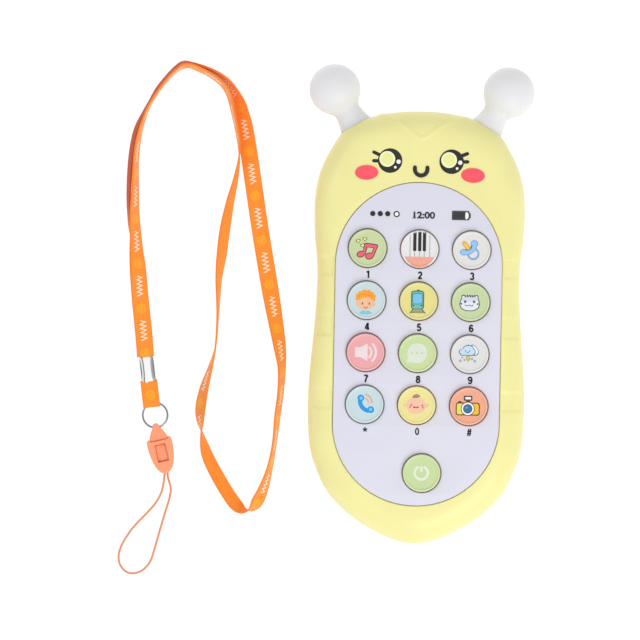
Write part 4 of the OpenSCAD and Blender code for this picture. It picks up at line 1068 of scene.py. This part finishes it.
M["web"] = webbing("webbing_printed", True)
M["web_back"] = webbing("webbing_plain", False)
strap, spath, slen = ribbon("lanyard_webbing", S, STRAP_W, STRAP_T, 0.9, [M["web"], M["web_back"]], "lanyard")
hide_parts("lanyard_strap")

# tail: a folded end of the same webbing round the split ring
a95 = math.radians(7.5)
td = Vector((math.sin(a95), -math.cos(a95), 0))
c0 = Vector((-101, -26.2, 0))


def along(t, z):
    p = c0 + td * t
    return (p.x, p.y, z, 0)


tail = [along(4.1, 2.4), along(6, 2.5), along(9, 2.6), along(11.5, 2.65), along(13.2, 2.4), along(14.2, 1.5), along(13.2, 0.62), along(11.5, 0.42), along(9, 0.45), along(6, 0.5), along(4.1, 0.6)]
M["web_tail"] = webbing("webbing_tail", True, 0.0028)
tl, tpath, tlen = ribbon("strap_tail_webbing", tail, 6.4, 0.6, 0.4, [M["web_tail"], M["web_back"]], "lanyard")
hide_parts("strap_tail")

# crimp: a bent metal ferrule
cr_ = box_obj(-2.65, 2.65, -4.7, 4.7, 0.1, 3.4, 0.75, 4, "strap_crimp_metal")
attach(cr_, "lanyard")
cr_.data.materials.clear()
cm = Mat("tinplate_painted_fold_shading", (0.9, 0.9, 0.91, 1), 0.25, Metallic=0.25)
csp = cm.node("ShaderNodeSeparateXYZ")
cm.link(cm.coords(), csp.inputs[0])
cx_, cy2 = cm.math("ADD", csp.outputs[0], 0.101), cm.math("ADD", csp.outputs[1], 0.0262)
ca, sa = math.cos(a95), math.sin(a95)
cross_ = cm.math("ADD", cm.math("MULTIPLY", cx_, ca), cm.math("MULTIPLY", cy2, sa))
long2 = cm.math("SUBTRACT", cm.math("MULTIPLY", cy2, ca), cm.math("MULTIPLY", cx_, sa))
bow = cm.math("ADD", cm.math("MULTIPLY", cm.math("MULTIPLY", long2, long2), 9500.0), 0.94)
fold_shading_pos = cm.math("ADD", cm.math("MULTIPLY", cm.math("DIVIDE", cross_, bow), 1 / 0.0053), 0.5)
g0 = lambda v: srgb(v, v, v + 2)
# painted shade and painted highlights across the crimp: dark streaks along its folds and bright strips beside them
# stand in for reflections and shade
cm.base(cm.ramp(fold_shading_pos, [(0.0, g0(96)), (0.05, g0(120)), (0.08, g0(225)), (0.17, g0(236)), (0.2, g0(120)), (0.25, g0(150)), (0.29, (1, 1, 1, 1)), (0.72, (1, 1, 1, 1)), (0.79, g0(176)), (0.93, g0(150)), (0.97, g0(110))]))
cr_.data.materials.append(cm.m)
boolean(cr_, [box_obj(x0 - 0.12, x0 + 0.12, -4.1, 4.1, 3.3, 4.2, 0.05) for x0 in (-1.5, 1.5)])
cr_.data.transform(Matrix.Translation(Vector((-101, -26.2, 0)) * MM) @ Matrix.Rotation(a95, 4, "Z"))
tidy(cr_, 30, recalc=False)
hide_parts("strap_crimp")


def tube_obj(name, pts, r, mats, body, n=16, rings=None):
    p = np.array(pts, float)
    T = np.gradient(p, axis=0)
    T /= np.linalg.norm(T, axis=1)[:, None]
    U = np.cross(np.tile(np.array([0.01, 0.02, 1.0]), (len(T), 1)), T)
    U /= np.linalg.norm(U, axis=1)[:, None]
    V = np.cross(T, U)
    verts, faces = [], []
    for i in range(len(p)):
        for k in range(n):
            a = 2 * math.pi * k / n
            verts.append(p[i] + r * (U[i] * math.cos(a) + V[i] * math.sin(a)))
    for i in range(len(p) - 1):
        for k in range(n):
            k2 = (k + 1) % n
            faces.append((i * n + k, i * n + k2, (i + 1) * n + k2, (i + 1) * n + k))
    faces.append(tuple(reversed(range(n))))
    faces.append(tuple((len(p) - 1) * n + k for k in range(n)))
    ob = new_obj(name, verts, faces, mats, body)
    return tidy(ob, 50)


# split ring: two turns of wire
rc = (-97.8, -43.4)
rp = []
for i in range(0, 241):
    t = i / 240
    a = math.radians(60 + 700 * t)
    zz = 0.98 + 0.78 * min(1, max(0, (t - 0.42) / 0.16))
    rp.append((rc[0] + 4.65 * math.cos(a), rc[1] + 4.65 * math.sin(a), zz))
M["ring"] = Mat("nickel_wire", (0.33, 0.33, 0.35, 1), 0.3, Metallic=1.0)
M["ring"].bump(M["ring"].noise(1500, 3), 0.08, 0.00003)
rg = tube_obj("split_ring_wire", rp, 0.36, M["ring"], "lanyard")
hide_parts("split_ring")

# buckle
AB = Matrix.Translation(Vector((-97.7, -46.6, 0)) * MM) @ Matrix.Rotation(math.radians(13.7), 4, "Z")
top_loop = blob([(-0.6, 0.0), (0, 0.12), (0.6, 0.0), (1.1, -0.7), (1.5, -1.7), (2.1, -2.6), (2.7, -3.7), (3.2, -4.8), (3.4, -6.4), (0, -6.44), (-3.4, -6.4), (-3.2, -4.8), (-2.7, -3.7), (-2.1, -2.6), (-1.5, -1.7), (-1.1, -0.7)], 4)
top_loop = [(x, max(y, -6.44)) for x, y in top_loop]
bt = plate("buckle_top_head", [top_loop], 0.2, 4.2, 0.5, M["buckle"], "lanyard", 4)
prong = box_obj(-2, 2, -14.8, -5.8, 1.6, 3.4, 0.3, 3, "prong")
tabp = box_obj(-1.93, 1.93, -14.25, -8.15, 3.1, 3.74, 0.1, 2, "tabp")
boolean(bt, [prong, tabp], "UNION")
bt.data.transform(AB)
tidy(bt, 32, recalc=False)
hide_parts("buckle_top")
body_loop = blob([(-4.3, -5.75), (-3.9, -5.65), (-3.4, -6.05), (-2.8, -6.45), (-1.4, -6.47), (0, -6.47), (1.4, -6.47), (2.8, -6.45), (3.4, -6.05), (3.9, -5.65), (4.3, -5.75), (4.72, -6.8), (4.75, -9), (4.45, -11.8), (3.95, -14.3), (3.1, -16.7), (1.9, -18.3), (0.8, -18.95), (-0.8, -18.95), (-1.9, -18.3), (-3.1, -16.7), (-3.95, -14.3), (-4.45, -11.8), (-4.75, -9), (-4.72, -6.6)], 4)
bb = plate("buckle_body_shell", [body_loop], 0.05, 4.95, 0.5, M["buckle"], "buckle_lower", 4)
cuts = [box_obj(-2.3, 2.3, -15.4, -5, 1.3, 3.8, 0.2), box_obj(-2.0, 2.0, -14.5, -7.95, 3, 6, 0.2), box_obj(-2.25, 2.25, -14.75, -7.7, 4.7, 6, 0.2),
        cyl_obj(1.25, 0, 4, (0, -17.2, 2.2), Matrix.Rotation(math.radians(90), 4, "X"), 32)]
boolean(bb, cuts)
bb.data.transform(AB)
tidy(bb, 32, recalc=False)
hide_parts("buckle_body")

# string loop
STRING = [(-93.7, -64.2, 1.6), (-93.9, -66.4, 1.4), (-94.2, -69, 1), (-95, -72.6, 0.6), (-97, -76.4, 0.5), (-100, -80, 0.5), (-103.2, -83.4, 0.5), (-106.2, -87, 0.5), (-109, -91.6, 0.5),
          (-110.4, -95.6, 0.5), (-110.2, -99, 0.5), (-108.6, -101.6, 0.5), (-106.2, -102.9, 0.5), (-103.4, -102.7, 0.5), (-100.6, -101, 0.5), (-98.4, -98, 0.5), (-97, -93.4, 0.5),
          (-95.2, -86.6, 0.5), (-93.4, -80, 0.5), (-91.8, -74.4, 0.5), (-91.4, -71, 0.8), (-92, -68.4, 1.2), (-92.6, -66.2, 1.5), (-92.8, -64, 1.7)]
sp_, _ = resample(catmull(np.array(STRING), 10), step=0.35)
m = Mat("braided_string", srgb(236, 150, 104), 0.7)
wv = m.node("ShaderNodeTexWave", bands_direction="DIAGONAL")
wv.inputs["Scale"].default_value = 520
wv.inputs["Distortion"].default_value = 1.5
m.link(m.coords(), wv.inputs["Vector"])
m.bump(wv.outputs["Fac"], 0.5, 0.00012)
m.base(m.ramp(wv.outputs["Fac"], [(0.2, srgb(230, 146, 104)), (0.8, srgb(238, 156, 114))]))
M["string"] = m
st = tube_obj("string_cord", sp_, 0.4, m, "buckle_lower", 12)
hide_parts("string_loop")

# ------------------------------------------------------------------ floor and light
fl = bpy.data.meshes.new("floor")
fl.from_pydata([(-2, -2, 0), (2, -2, 0), (2, 2, 0), (-2, 2, 0)], [], [(0, 1, 2, 3)])
floor = bpy.data.objects.new("floor", fl)
floor.location.z = -0.0002
SC.collection.objects.link(floor)
fm = Mat("floor_white", (0.25, 0.25, 0.25, 1), 0.9)
fm.p.inputs["Emission Color"].default_value = (1, 1, 1, 1)
fm.p.inputs["Emission Strength"].default_value = 0.86
fl.materials.append(fm.m)
floor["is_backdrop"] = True

world = bpy.data.worlds.new("world")
SC.world = world
world.use_nodes = True
world.node_tree.nodes["Background"].inputs[0].default_value = (1, 1, 1, 1)
world.node_tree.nodes["Background"].inputs[1].default_value = 0.66


def area(name, loc, target, size, power, color=(1, 1, 1)):
    l = bpy.data.lights.new(name, "AREA")
    l.energy = power
    l.size = size
    l.color = color
    o = bpy.data.objects.new(name, l)
    o.location = loc
    o.rotation_euler = (Vector(target) - Vector(loc)).to_track_quat("-Z", "Y").to_euler()
    SC.collection.objects.link(o)
    return o


area("key", (0.42, -0.74, 0.95), (0, 0, 0), 0.7, 6.5)
area("fill", (-0.8, 0.5, 1.2), (0, 0, 0), 1.0, 3.2)

lo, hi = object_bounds()
